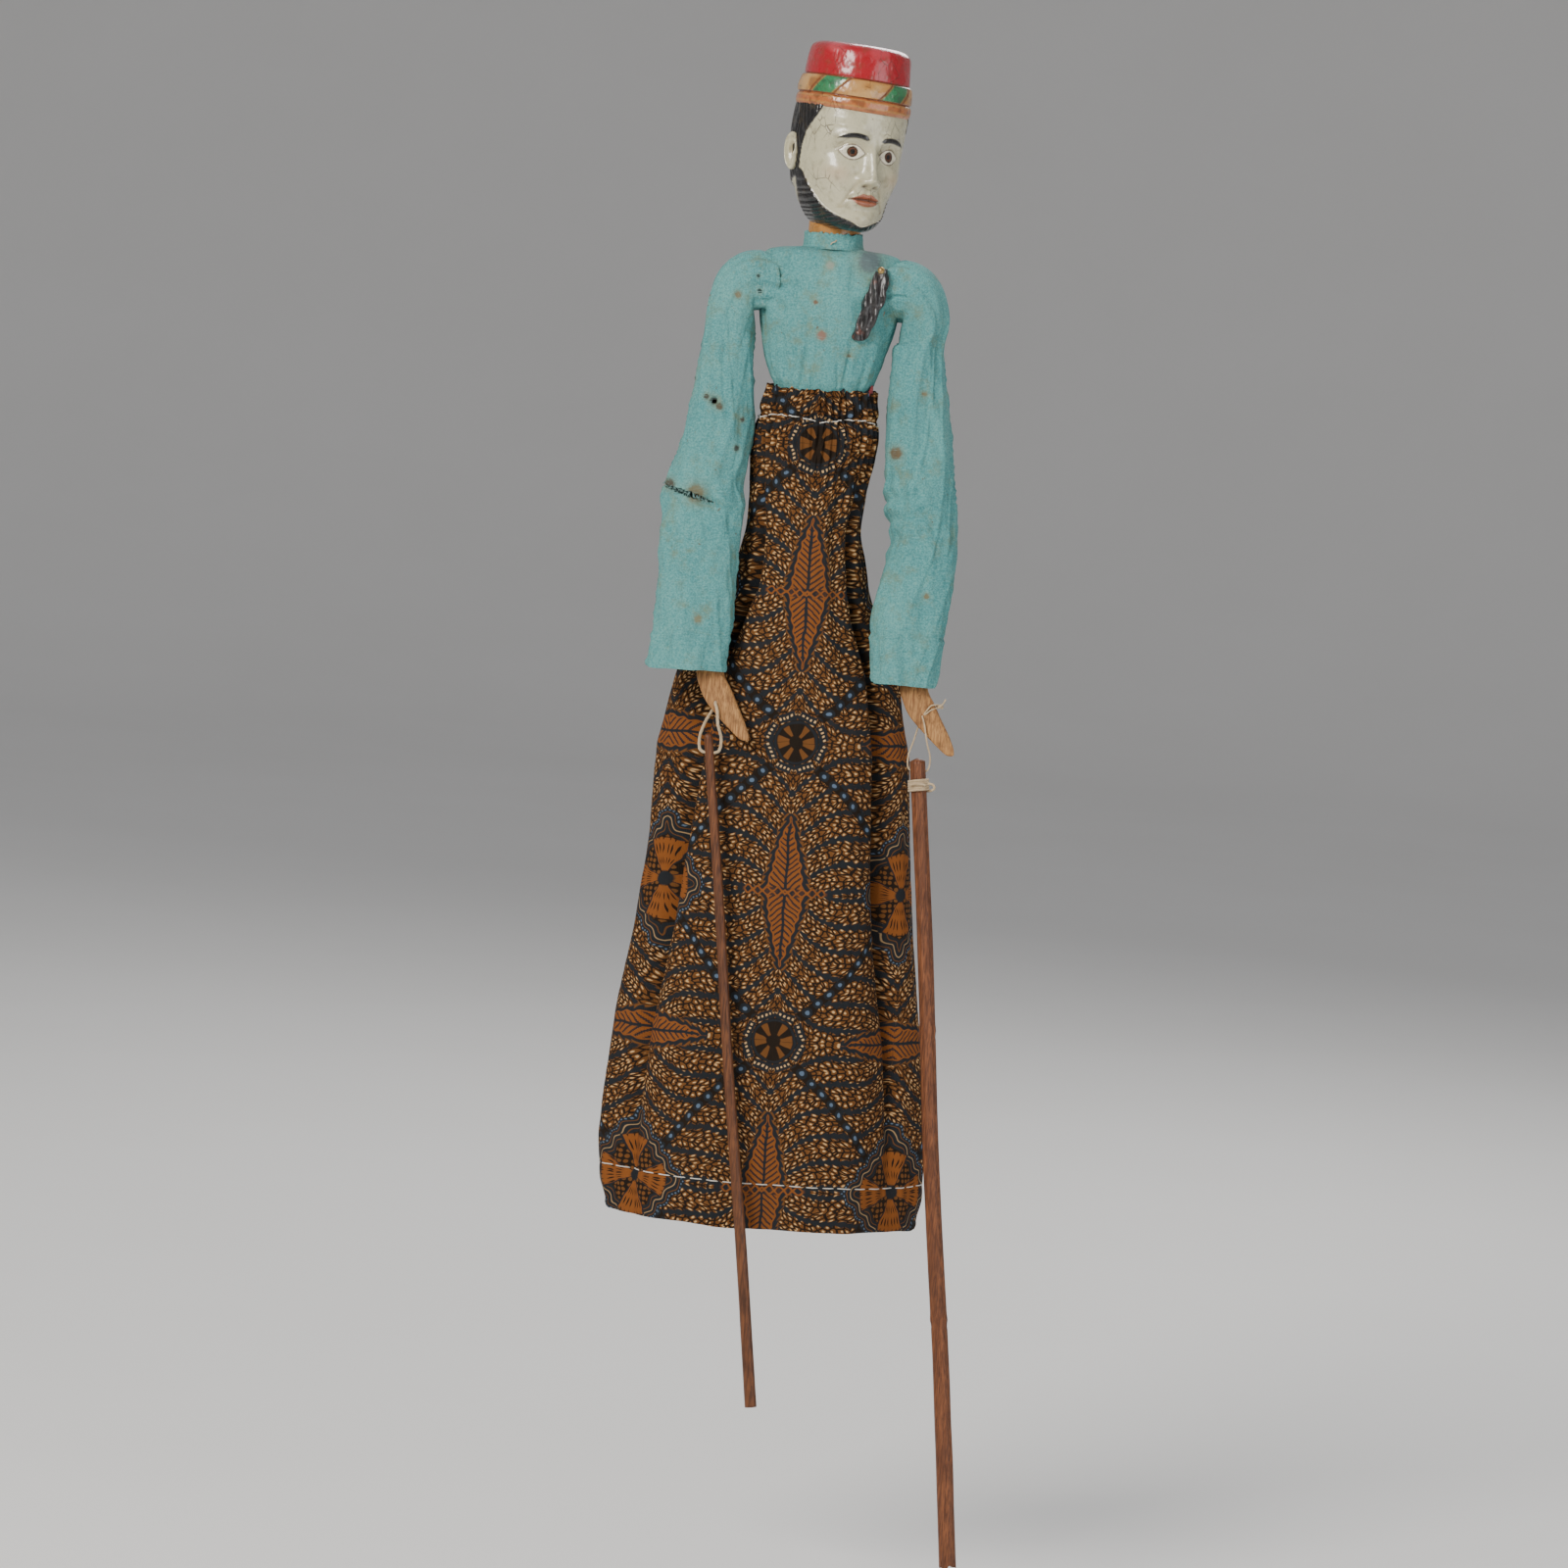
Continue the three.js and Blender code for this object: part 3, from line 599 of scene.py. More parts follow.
def batik_leaves(m, x, y, ex, ey):
    """Leaf pairs, upright over the rosette and lying beside it, and the stem between them."""
    batik_leaf(m, ey, x, 44.0, 11.0)
    batik_leaf(m, ex, y, 42.0, 9.5)
    seam = ey.below(2.6, 0.4) * x.below(24.0, 1.5)
    squiggle = ((x * 1.1).sin() * 1.1 + ey - 1.3).abs().below(0.7, 0.3)
    m.lay(seam * 0.85, BATIK_INK["indigo"])
    m.lay(seam * squiggle, BATIK_INK["orange"])


def batik_rosette(m, x, y):
    """Rosette with petals, and short beaded bars round it."""
    r = (x * x + y * y).root()
    angle = y.math("ARCTAN2", x)
    m.lay(r.below(13.2, 0.4), BATIK_INK["ground"])
    petals = (angle * 8.0).sin().step(-0.1, 0.3) * r.band(4.2, 11.0, 0.4)
    m.lay(petals, BATIK_INK["ochre"])
    m.lay(r.band(11.4, 12.8, 0.3), BATIK_INK["indigo"])
    for turn in (0.39, 1.18):
        along_bar = y * math.cos(turn) - x * math.sin(turn)
        out_bar = x * math.cos(turn) + y * math.sin(turn)
        bar = along_bar.abs().below(5.0, 0.3) * out_bar.band(13.4, 18.4, 0.3)
        m.lay(bar, BATIK_INK["indigo"])
        dots = (along_bar * 2.6).sin().step(-0.2, 0.3)
        m.lay(bar * out_bar.band(15.2, 16.6, 0.3) * dots, BATIK_INK["cream"])


def batik_diamond(m, ex, ey):
    """Diamond with wavy borders round four fan petals."""
    wave = ((ex - ey) * 0.42).sin() * 1.6
    ring = ex * 1.2 + ey + wave
    fan_r = (ex * ex + ey * ey).root()
    fan_angle = ey.math("ARCTAN2", ex)
    off_axis = (fan_angle - math.pi / 4).abs()
    m.lay(ring.band(29.0, 45.0, 0.5), BATIK_INK["indigo"])
    for low, high, colour, strength in ((32.0, 32.9, "ochre", 0.9), (36.2, 37.2, "cream", 0.55),
                                        (40.3, 41.1, "ochre", 0.9)):
        m.lay(ring.band(low, high, 0.25) * strength, BATIK_INK[colour])
    dotted = ((ex - ey) * 2.2).sin().step(-0.1, 0.4) * ring.band(42.6, 43.9, 0.25)
    m.lay(dotted, BATIK_INK["blue"])
    net = m.cells(m.vector(ex, ey), 3.2, random=0.3)
    m.lay(ring.below(29.0, 0.4), BATIK_INK["ground"])
    m.lay(ring.below(28.0, 0.4) * net.below(0.36, 0.06), BATIK_INK["ochre"])
    fan = off_axis.step(0.33, 0.37) * fan_r.band(4.5, 24.0, 0.4)
    m.lay(fan, BATIK_INK["orange"])
    rays = ((fan_angle * 52.0).sin() + (fan_r * 0.8).sin() * 0.4).step(0.55, 0.85)
    m.lay(fan * rays * fan_r.step(7.0, 10.0), BATIK_INK["ground"])
    m.lay(off_axis.band(0.31, 0.36, 0.01) * fan_r.band(4.0, 25.0, 0.4), BATIK_INK["indigo"])
    m.lay(fan_r.below(4.0, 0.4), BATIK_INK["indigo"])


def batik_cotton():
    """Brown, cream and indigo wax-resist print."""
    m = Material("batik_cotton").set(Roughness=0.95, Specular_IOR_Level=0.15)
    u, v, _ = m.where("UV")
    place = m.vector(u, v)
    wob_a = (m.noise(place, 13.0, 2.0) - 0.5) * 3.4
    wob_b = (m.noise(m.vector(u + 300.0, v), 13.0, 2.0) - 0.5) * 3.4
    x = (u + wob_a).wrapped(BATIK_WIDE).abs()
    y = (v + wob_b + BATIK_SHIFT).wrapped(BATIK_TALL).abs()
    ex, ey = (x - BATIK_WIDE / 2).abs(), (y - BATIK_TALL / 2).abs()
    batik_grains(m, x, y)
    batik_beads(m, x, y)
    batik_leaves(m, x, y, ex, ey)
    batik_rosette(m, x, y)
    batik_diamond(m, ex, ey)
    worn = m.noise(place, 46.0, 4.0)
    m.lay(worn.step(0.5, 0.85) * 0.2, srgb(70, 52, 36))
    threads = weave(u, v, 0.5)
    m.lay(threads * 0.07, srgb(120, 94, 66))
    m.relief(threads + m.noise(place, 2.0, 2.0) * 0.6, 0.12)
    return m.data


def red_cotton():
    m = Material("red_cotton").set(Roughness=0.9, Sheen_Weight=0.3)
    x, y, z = m.where()
    place = m.vector(x, y, z)
    m.start(m.mix(m.noise(place, 4.0), srgb(128, 24, 30), srgb(176, 44, 46)))
    m.relief(weave(x, z, 0.5), 0.1)
    return m.data


def lacquer():
    """Gloss paint over carved wood. The paint attribute holds the painted colour."""
    m = Material("painted_lacquer").set(Coat_Weight=0.5, Coat_Roughness=0.12)
    x, y, z = m.where()
    place = m.vector(x, y, z)
    paint = m.attribute("paint")
    dirt = m.noise(place, 7.0, 5.0, 0.62)
    m.start(m.mix(dirt.step(0.5, 0.72) * 0.4, paint, srgb(88, 74, 48)))
    cracks = m.node("ShaderNodeTexVoronoi", Vector=m.vector(x, y, z * 0.7), Scale=1 / 6.5)
    cracks.feature = "DISTANCE_TO_EDGE"
    line = Shade(m.tree, cracks.outputs["Distance"]).below(0.014, 0.01)
    patch = m.noise(place, 16.0, 2.0).step(0.52, 0.62)
    m.lay(line * patch * 0.75, srgb(70, 56, 38))
    chips = m.noise(place, 3.2, 3.0, 0.6).step(0.71, 0.75)
    m.lay(chips * 0.7, srgb(120, 84, 50))
    m.rough(m.noise(place, 5.0, 3.0) * 0.22 + 0.18 + chips * 0.3)
    brush = m.noise(m.vector(x * 1.6, y * 1.6, z * 0.5), 1.8, 3.0)
    m.relief(brush * 0.5 + dirt * 0.6 - chips * 0.8 - line * patch, 0.22)
    return m.data


def wood(name, light, dark, rough, grain_size=1.1, along="z", lift=0.25, patches=17.0):
    """Straight-grained wood whose fibres run along one axis."""
    m = Material(name).set(Specular_IOR_Level=0.35)
    x, y, z = m.where()
    stretch = {"x": (0.06, 1.0, 1.0), "z": (1.0, 1.0, 0.06)}[along]
    place = m.vector(x * stretch[0], y * stretch[1], z * stretch[2])
    fibres = m.noise(place, grain_size, 4.0, 0.6, 0.3)
    bands = m.noise(place, grain_size * 5, 3.0, 0.5, 0.6)
    m.start(m.mix(fibres.step(0.3, 0.7), dark, light))
    m.lay(bands.step(0.4, 0.7) * 0.55, dark)
    handled = m.noise(m.vector(x, y, z), patches, 3.0)
    deep = tuple(c * 0.45 for c in dark[:3]) + (1.0,)
    m.lay(handled.step(0.52, 0.75) * 0.45, deep)
    specks = m.noise(m.vector(x, y, z * 0.4), 1.6, 2.0).step(0.7, 0.76)
    m.lay(specks * 0.6, deep)
    m.rough(fibres * 0.18 + rough)
    m.relief(fibres * 0.7 + bands * 0.5 - specks * 0.4, lift)
    return m.data


def string_material(name, light, dark):
    m = Material(name).set(Roughness=0.85, Sheen_Weight=0.2)
    place = m.room()
    m.start(m.mix(m.noise(place, 3.0, 3.0), dark, light))
    m.lay(m.noise(place, 0.5, 2.0).step(0.5, 0.8) * 0.5, dark)
    m.relief(m.noise(place, 0.35, 2.0), 0.1)
    return m.data


def patent_leather():
    m = Material("crumpled_patent_leather").set(Roughness=0.28, Coat_Weight=0.6, Coat_Roughness=0.15)
    x, y, z = m.where()
    place = m.vector(x, y, z)
    creases = m.noise(m.vector(x * 1.4, y, z * 0.35), 2.2, 5.0, 0.65, 0.8)
    # The crease field also raises the relief, so the colour is darker in the crease valleys and lighter on
    # the ridges: painted shade and painted highlight on the crumples.
    m.start(m.mix(creases.step(0.35, 0.65), srgb(8, 7, 7), srgb(38, 31, 30)))
    rust = m.noise(place, 7.0, 2.0).step(0.6, 0.7)
    m.lay(rust * 0.8, srgb(104, 52, 32))
    m.relief(creases, 0.9)
    return m.data


def aged_brass():
    m = Material("aged_brass").set(Metallic=1.0)
    place = m.room()
    tarnish = m.noise(place, 1.6, 4.0)
    m.start(m.mix(tarnish.step(0.4, 0.7), srgb(214, 178, 118), srgb(110, 80, 46)))
    m.rough(tarnish * 0.3 + 0.2)
    m.relief(tarnish, 0.05)
    return m.data


def stage_material():
    m = Material("pale_stage").set(Roughness=0.9)
    m.start(m.mix(m.noise(m.room(), 400.0), srgb(232, 230, 226), srgb(238, 236, 233)))
    return m.data


MATERIALS = {
    "teal": teal_cotton(), "batik": batik_cotton(), "red": red_cotton(), "lacquer": lacquer(),
    "carved": wood("carved_softwood", srgb(176, 134, 84), srgb(122, 84, 48), 0.6),
    "hand": wood("bare_hand_wood", srgb(186, 138, 84), srgb(122, 80, 44), 0.5, 0.9, "z", 0.35, 6.0),
    "rod": wood("turned_rod_wood", srgb(120, 72, 40), srgb(66, 37, 21), 0.42),
    "bamboo": wood("split_bamboo", srgb(136, 82, 48), srgb(76, 41, 23), 0.4, 0.8, "z", 0.4),
    "string": string_material("pale_string", srgb(214, 194, 158), srgb(150, 122, 88)),
    "white_thread": string_material("white_thread", srgb(232, 228, 220), srgb(186, 178, 164)),
    "fray": string_material("teal_frays", srgb(150, 190, 180), srgb(84, 130, 128)),
    "leather": patent_leather(), "brass": aged_brass(),
}


def dress(obj, material, body=None):
    """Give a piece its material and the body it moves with."""
    obj.data.materials.clear()
    obj.data.materials.append(MATERIALS[material])
    if body:
        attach(obj, body)
    return obj


# ------------------------------------------------------------------ camera, light and stage
LENS, SENSOR = 135, 36
VIEW_WIDTH, VIEW_TARGET = 0.935, (-0.0053, 0, 0.232)
VIEW_ELEVATION, VIEW_ROLL = math.radians(5.0), math.radians(4.3)
STAGE_DROP, STAGE_FLAT, STAGE_CURVE = 45, 6000, 2500


def camera():
    """Long lens from about shoulder height, rolled as the puppet leans in its picture. VIEW_WIDTH is
    what it takes in at the puppet, in metres."""
    data = bpy.data.cameras.new("camera")
    data.lens = LENS
    data.sensor_width = SENSOR
    data.clip_end = 50
    cam = bpy.data.objects.new("camera", data)
    bpy.context.scene.collection.objects.link(cam)
    back = Vector((0, -math.cos(VIEW_ELEVATION), math.sin(VIEW_ELEVATION)))
    cam.location = Vector(VIEW_TARGET) + back * (VIEW_WIDTH / SENSOR * LENS)
    cam.rotation_mode = "QUATERNION"
    aim = (-back).to_track_quat("-Z", "Y")
    cam.rotation_quaternion = aim @ Quaternion((0, 0, 1), VIEW_ROLL)
    bpy.context.scene.camera = cam


def area_light(name, place, target, size, power, colour=(1, 1, 1)):
    data = bpy.data.lights.new(name, "AREA")
    data.size = size
    data.energy = power
    data.color = colour
    lamp = bpy.data.objects.new(name, data)
    bpy.context.scene.collection.objects.link(lamp)
    lamp.location = place
    lamp.rotation_mode = "QUATERNION"
    lamp.rotation_quaternion = (Vector(target) - Vector(place)).to_track_quat("-Z", "Y")


def studio():
    """Pale bowl-shaped stage below the rods' feet, a soft key from the upper left, a fill and a back
    light. The bowl is wide enough to hold the camera when an arm is stretched out."""
    floor = CAD_BOX[0].z / MM - STAGE_DROP
    flat, curve = STAGE_FLAT, STAGE_CURVE
    profile = [(1, floor), (flat, floor)]
    profile += [(flat + curve * math.sin(a), floor + curve * (1 - math.cos(a)))
                for a in np.linspace(0.1, math.pi / 2, 14)]
    profile += [(flat + curve, floor + flat)]
    turn = 2 * math.pi * np.arange(72) / 72
    grid = np.array([[(r * math.cos(t), r * math.sin(t), z) for t in turn] for r, z in profile])
    faces = grid_faces(len(profile), 72, flip=True)[0].tolist()
    faces.append(list(range(72)))
    bowl = make_object("stage_bowl", grid.reshape(-1, 3), faces)
    bowl.data.materials.append(stage_material())
    middle = (0, 0, 0.25)
    area_light("key", (-1.3, -1.9, 1.7), middle, 1.0, 74, (1.0, 0.97, 0.93))
    area_light("fill", (1.9, -1.7, 0.6), middle, 1.6, 22, (0.95, 0.97, 1.0))
    area_light("back", (0.6, 1.9, 1.9), middle, 1.2, 36)
    world = bpy.data.worlds.new("world")
    bpy.context.scene.world = world
    world.use_nodes = True
    world.node_tree.nodes["Background"].inputs[0].default_value = (0.9, 0.93, 1.0, 1.0)
    world.node_tree.nodes["Background"].inputs[1].default_value = 0.36


camera()
studio()


# ------------------------------------------------------------------ sarong
# Each side of the sarong's plain form: (height, half width or half depth).
SARONG_RIGHT = [(468, 35), (460, 36), (451, 35.5), (440, 38.5), (385, 38), (350, 44), (330, 55), (300, 72),
                (250, 83), (200, 84), (145, 89), (90, 97), (45, 100), (15, 101), (-12, 98), (-28, 92)]
SARONG_LEFT = [(468, 33), (460, 33.5), (451, 33.5), (440, 35), (385, 28), (350, 36), (330, 43), (300, 57),
               (250, 68), (200, 72), (145, 78), (90, 87), (45, 92), (15, 94), (-12, 95), (-28, 91)]
SARONG_FRONT = [(468, 25), (460, 25.5), (451, 25), (440, 28), (385, 27), (300, 32), (200, 40), (100, 48),
                (0, 54), (-28, 54)]
SARONG_BACK = [(468, 25), (460, 25.5), (451, 25), (440, 29), (385, 31), (300, 40), (200, 47), (100, 53),
               (0, 58), (-28, 57)]
FOLD_DEPTH = [(440, 0), (385, 3), (350, 9), (300, 13), (200, 14), (100, 10), (30, 4), (-28, 1)]
# Standing folds: turn in degrees, width, and share of FOLD_DEPTH.
FOLDS = [(213, 14, 1.0), (327, 14, 1.0), (55, 11, 0.45), (90, 9, 0.35), (126, 11, 0.45)]
CREASE_DEEPER, CREASE_WIDTH = 1.4, 0.3
STITCH_LENGTH, STITCH_GAP = 8.5, 1.5
HEM, HEM_STITCH, CORD_Z, SARONG_TOP = -28, -1, 451, 468
SARONG_SQUARENESS, TRUNK_SQUARENESS = 2.2, 2.3
CLOTH = 0.8

gather_noise, fold_noise, ripple_noise, crease_noise = Noise(1), Noise(2), Noise(3), Noise(4)


def sarong_relief(turn, z):
    """How far the gathers, folds and seams stand out from the sarong's plain form."""
    gathered = smoothstep(385, 446, z)
    count = gather_noise(turn / 23, 0.5) * 0.9 + turn / 8.2
    gathers = np.sin(2 * math.pi * count) * (0.75 + 0.35 * gather_noise(turn / 7, z / 60))
    lift = gathered * gathers * 1.15
    lift += 0.5 * gathered * np.sin(2 * math.pi * (turn / 3.7 + gather_noise(turn / 9, z / 30)))
    lift -= 1.5 * bump(z, CORD_Z, 2.6)
    lift += smoothstep(454, SARONG_TOP, z) * (1.5 * gather_noise(turn / 6 + 9, z / 12) - 2.3)
    lift += 1.5 * fold_noise(turn / 13, z / 170) * smoothstep(455, 380, z)
    lift += 0.8 * fold_noise(turn / 5.5 + 20, z / 110) * smoothstep(440, 360, z)
    slant = turn / 16 + z / 60
    lift += 0.75 * ripple_noise(slant, z / 34 - turn / 40) * smoothstep(60, 330, z)
    lift += 0.28 * crease_noise(turn / 2.2, z / 9)
    lift += 0.9 * bump(z, HEM + 2, 2.2) - 0.45 * bump(z, HEM_STITCH, 1.4)
    return lift


def sarong_point(turn, z, out=0.0, relief=True):
    """Place on the sarong at a turn in degrees and a height, out millimetres off its face."""
    turn, z = np.broadcast_arrays(np.asarray(turn, float), np.asarray(z, float))
    c, s = rounded_square(np.radians(turn), SARONG_SQUARENESS)
    x = np.where(c < 0, table(SARONG_RIGHT, z), table(SARONG_LEFT, z)) * c
    y = np.where(s < 0, table(SARONG_FRONT, z), table(SARONG_BACK, z)) * s
    depth = table(FOLD_DEPTH, z, 12)
    bend = turn + 3.5 * fold_noise(turn / 60 + 3, z / 90)
    off = [(bend - at + 180) % 360 - 180 for at, _, _ in FOLDS]
    pull = sum(deep * depth * bump(o, 0, wide) for o, (_, wide, deep) in zip(off, FOLDS))
    if relief:
        crease = sum(deep * depth * CREASE_DEEPER * bump(o, 0, wide * CREASE_WIDTH)
                     for o, (_, wide, deep) in zip(off, FOLDS))
        pull = pull + crease - sarong_relief(turn % 360, z)
    scale = 1 + (out - pull) / np.hypot(x, y)
    return np.stack([x * scale, y * scale, z], -1)


def make_sarong():
    turns = ring_turns(540)
    rows = np.concatenate([np.linspace(HEM, 380, 170)[:-1], np.linspace(380, SARONG_TOP, 64)])
    grid = sarong_point(turns[None, :], rows[:, None])
    ragged = 1.6 * gather_noise(turns / 7, 3.3) + 0.7 * gather_noise(turns / 2.4, 8.1)
    grid[..., 2] += ragged[None, :] * smoothstep(458, SARONG_TOP, rows)[:, None]
    grid[..., 2] += (0.8 * fold_noise(turns / 15, 2.2))[None, :] * smoothstep(-15, HEM, rows)[:, None]
    smooth = np.linalg.norm(np.diff(sarong_point(turns, rows[:, None], relief=False), axis=1,
                                    append=sarong_point(turns[:1], rows[:, None], relief=False)), axis=2)
    run = np.concatenate([np.zeros((len(rows), 1)), np.cumsum(smooth, 1)], 1)
    front = np.argmin(np.abs(turns - FRONT))
    u = run - run[:, front:front + 1]
    v = np.repeat(rows[:, None], u.shape[1], 1)
    obj = shell("sarong_cloth", grid, CLOTH, np.stack([u, v], -1) * MM)
    dress(obj, "batik", "torso")
    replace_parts(obj, "sarong")
    return obj, flat_size(grid)


def stitch_turns(turn_from, turn_to, z, length, gap):
    """Start and end turns of a row of running stitches of one length along the sarong."""
    turn, pairs = turn_from, []
    while turn < turn_to:
        speed = np.linalg.norm(sarong_point(turn + 1.0, z, 0.2) - sarong_point(turn, z, 0.2))
        pairs.append((turn, turn + length / speed))
        turn += (length + gap * (1 + 0.25 * math.sin(turn * 1.7))) / speed
    return pairs


def make_stitches(name, pairs, height, radius):
    """Short thread stitches that rise from the cloth and dive back into it."""
    made = []
    for start, end in pairs:
        t = np.linspace(0, 1, 7)
        turns = start + (end - start) * t
        outs = -0.5 + 1.1 * np.sin(math.pi * t)
        path = np.array([sarong_point(a, height(a), o) for a, o in zip(turns, outs)])
        made.append(cord(f"{name}_one", path, radius, strands=2, around=6))
    return joined(name, made)


def make_sarong_trim():
    def hem(turn):
        return HEM_STITCH + 0.9 * float(fold_noise(turn / 30, 5.5))

    pairs = stitch_turns(BACK + 2, BACK + 358, HEM_STITCH, STITCH_LENGTH, STITCH_GAP)
    stitches = make_stitches("hem_stitches", pairs, hem, 0.38)
    dress(stitches, "white_thread", "torso")
    turns = ring_turns(720)
    slack = 3.4 * np.abs(np.sin(np.radians(turns - FRONT) * 2.3)) ** 0.7
    heights = CORD_Z - 3.0 + slack + 0.5 * gather_noise(turns / 5, 1.1)
    weave_in = 0.1 + 0.85 * np.sin(np.radians(turns) * 24 + 2 * gather_noise(turns / 19, 0.2))
    path = np.array([sarong_point(a, h, o) for a, h, o in zip(turns, heights, weave_in)])
    thread = cord("waist_thread", path, 0.42, closed=True, strands=3, around=8)
    dress(thread, "white_thread", "torso")
    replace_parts(thread, "waist_cord")
    return [stitches, thread]


# ------------------------------------------------------------------ jacket
# Half width, half depth and height of the jacket, from its foot to the collar.
JACKET_SIDE = [(28, 20, 447), (28.6, 20.6, 466), (31.5, 21.5, 474), (35, 22, 485), (38.5, 22.5, 500),
               (41, 22.2, 516), (41.4, 21, 532), (41.2, 19.8, 543), (38.6, 18.4, 548), (31, 16.6, 550.2),
               (23, 15.2, 551), (17.4, 14.6, 551.6)]
COLLAR_LOW, COLLAR_TALL, COLLAR_RADIUS = 550.6, 9.4, 17.9
SASH_LOW, SASH_TALL, SASH_CORNER = 448, 15, 9.5
drape_noise, fine_noise = Noise(12), Noise(13)


def jacket_surface(turns, profile):
    c, s = circle(turns)
    wide, deep = rounded_square(np.radians(turns)[None, :], TRUNK_SQUARENESS)
    half, depth, z = profile[:, 0:1], profile[:, 1:2], profile[:, 2:3]
    x, y = half * wide, depth * deep
    z = z + 0 * x
    radial = np.stack([c + 0 * x, s + 0 * x, 0 * x], -1)
    lift = 1.3 * drape_noise(turns[None, :] / 15 + z / 50, z / 30 - turns[None, :] / 40)
    lift += 0.6 * fine_noise(turns[None, :] / 6, z / 11) + 0.2 * fine_noise(turns[None, :] / 2.2, z / 3.5)
    for side in (-1, 1):
        away = np.hypot(x - side * 39, z - 527)
        fan = np.arctan2(z - 527, side * 39 - x)
        lift += 1.1 * np.sin(fan * 8 + 2 * side) * bump(away, 15, 10) * (np.abs(y) > 6)
        lift -= 1.9 * bump(z, 480, 14) * bump(x, side * 13 + 0.12 * (z - 480), 1.2) * (y < 0)
        lift -= 1.0 * bump(z, 476, 9) * bump(x, side * 7.5 - 0.1 * (z - 480), 1.0) * (y < 0)
        lift += 0.5 * bump(x, side * 16, 2.2) * bump(z, 482, 14) * (y < 0)
        lift += 0.6 * bump(z, 540 - 0.35 * np.abs(x), 2.0) * bump(x, side * 27, 9)
    lift *= smoothstep(551.6, 546, z) * (0.15 + 0.85 * smoothstep(462, 476, z))
    return np.stack([x, y, z], -1) + radial * lift[..., None]


def make_jacket_body():
    turns = ring_turns(360)
    profile = smooth_path([(a, b, z) for a, b, z in JACKET_SIDE], 11)
    grid = jacket_surface(turns, profile)
    run = np.linalg.norm(np.diff(grid, axis=1, append=grid[:, :1]), axis=2)
    u = np.concatenate([np.zeros((len(profile), 1)), np.cumsum(run, 1)], 1)
    u -= u[:, 180:181]
    up = np.concatenate([[0], np.cumsum(np.linalg.norm(np.diff(profile, axis=0), axis=1))])
    v = np.repeat(up[:, None], u.shape[1], 1)
    body = shell("jacket_cloth_body", grid, CLOTH, np.stack([u, v], -1) * MM)
    dress(body, "teal", "torso")
    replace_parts(body, "jacket_body")
    return body, flat_size(grid)


def make_collar():
    """Standing collar with a ragged edge, the seam at its foot and one stitch."""
    turns = ring_turns(360)
    heights = np.linspace(COLLAR_LOW, COLLAR_LOW + COLLAR_TALL, 15)
    ragged = 0.7 * fine_noise(turns / 3.1, 0.7) + 0.5 * fine_noise(turns / 1.3, 3.1)
    share = (heights - COLLAR_LOW) / COLLAR_TALL
    radius = COLLAR_RADIUS - 0.7 * share + 0.5 * bump(share, 0.05, 0.12)
    flare = 0.8 * fine_noise(turns[None, :] / 21, share[:, None] * 2) * share[:, None]
    r = radius[:, None] + flare + 0.3 * fine_noise(turns[None, :] / 5, heights[:, None] / 3)
    c, s = circle(turns)
    z = heights[:, None] + ragged[None, :] * share[:, None] ** 3 + 0 * r
    grid = np.stack([r * c, r * s, z], -1)
    u = np.repeat(np.radians(np.append(turns, 450))[None, :] * 17.5, len(heights), 0)
    v = np.repeat(heights[:, None], u.shape[1], 1)
    collar = shell("jacket_collar_band", grid, 1.0, np.stack([u, v], -1) * MM)
    dress(collar, "teal", "torso")
    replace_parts(collar, "jacket_collar")
    angles = ring_angles(12)[0]
    ring = np.stack([COLLAR_RADIUS * np.cos(angles), COLLAR_RADIUS * np.sin(angles),
                     COLLAR_LOW + 0.6 + 0.3 * np.sin(5 * angles)], -1)
    seam = cord("collar_seam", smooth_path(ring, 10, closed=True), 0.65, closed=True, around=8)
    dress(seam, "teal", "torso")
    tick = [(-1.6, -17.6, 553.5), (-0.8, -18.7, 554.6), (0.6, -18.8, 555.2), (1.6, -17.6, 556.2)]
    stitch = dress(cord("collar_stitch", smooth_path(tick, 5), 0.4, around=6), "string", "torso")
    return [collar, seam, stitch]


def frayed_threads(name, roots, spread, length, radius, material, body, seed):
    """Loose thread ends that stick out of an edge. Each root is a place and the way out."""
    rng = np.random.default_rng(seed)
    made = []
    for place, out in roots:
        place, out = np.array(place, float), np.array(out, float)
        way = out / np.linalg.norm(out) + rng.normal(0, spread, 3)
        bend = rng.normal(0, spread, 3)
        reach = length * rng.uniform(0.5, 1.2)
        path = [place - out * 0.4, place + way * reach * 0.4,
                place + way * reach * 0.75 + bend * reach * 0.3, place + way * reach + bend * reach]
        made.append(cord(f"{name}_one", smooth_path(path, 4), radius, strands=2, around=5))
    return dress(joined(name, made), material, body)


# ------------------------------------------------------------------ sleeves
SLEEVE_STEPS = 14
# Two places on the left side between the upper arm and the forearm, in metres, listed for the lower sleeve.
ELBOW_BLEND = ((0.064, -0.012, 0.4255), (0.064, -0.012, 0.374))
# Sections of the hanging sleeve: (height, middle, half width, half depth).
SLEEVE = {
    "right": [(493, 57.5, 14.5, 15.2), (460, 58.5, 17.5, 15.5), (430, 61, 20, 16), (411, 65, 21.5, 16),
              (400, 66, 23.5, 16), (388, 65, 23, 15.5), (363, 65, 23, 14.5), (330, 65, 23, 13.5),
              (299, 66.5, 23.5, 12)],
    "left": [(493, 54.5, 14.5, 15.2), (460, 57, 17.5, 15.5), (430, 60, 19.5, 16), (411, 62, 20.5, 16),
             (400, 63.5, 21, 16), (384, 66, 19.5, 15.5), (363, 64, 21, 14.5), (330, 60.5, 21, 13.5),
             (299, 60.5, 17.5, 12)],
}
SIGN = {"right": -1, "left": 1}
CUFF, SLEEVE_SPLIT = 299, 430
ARMHOLE_X, ARMHOLE_WRAP, SLEEVE_SQUARENESS = 38.4, 8.5, 2.4
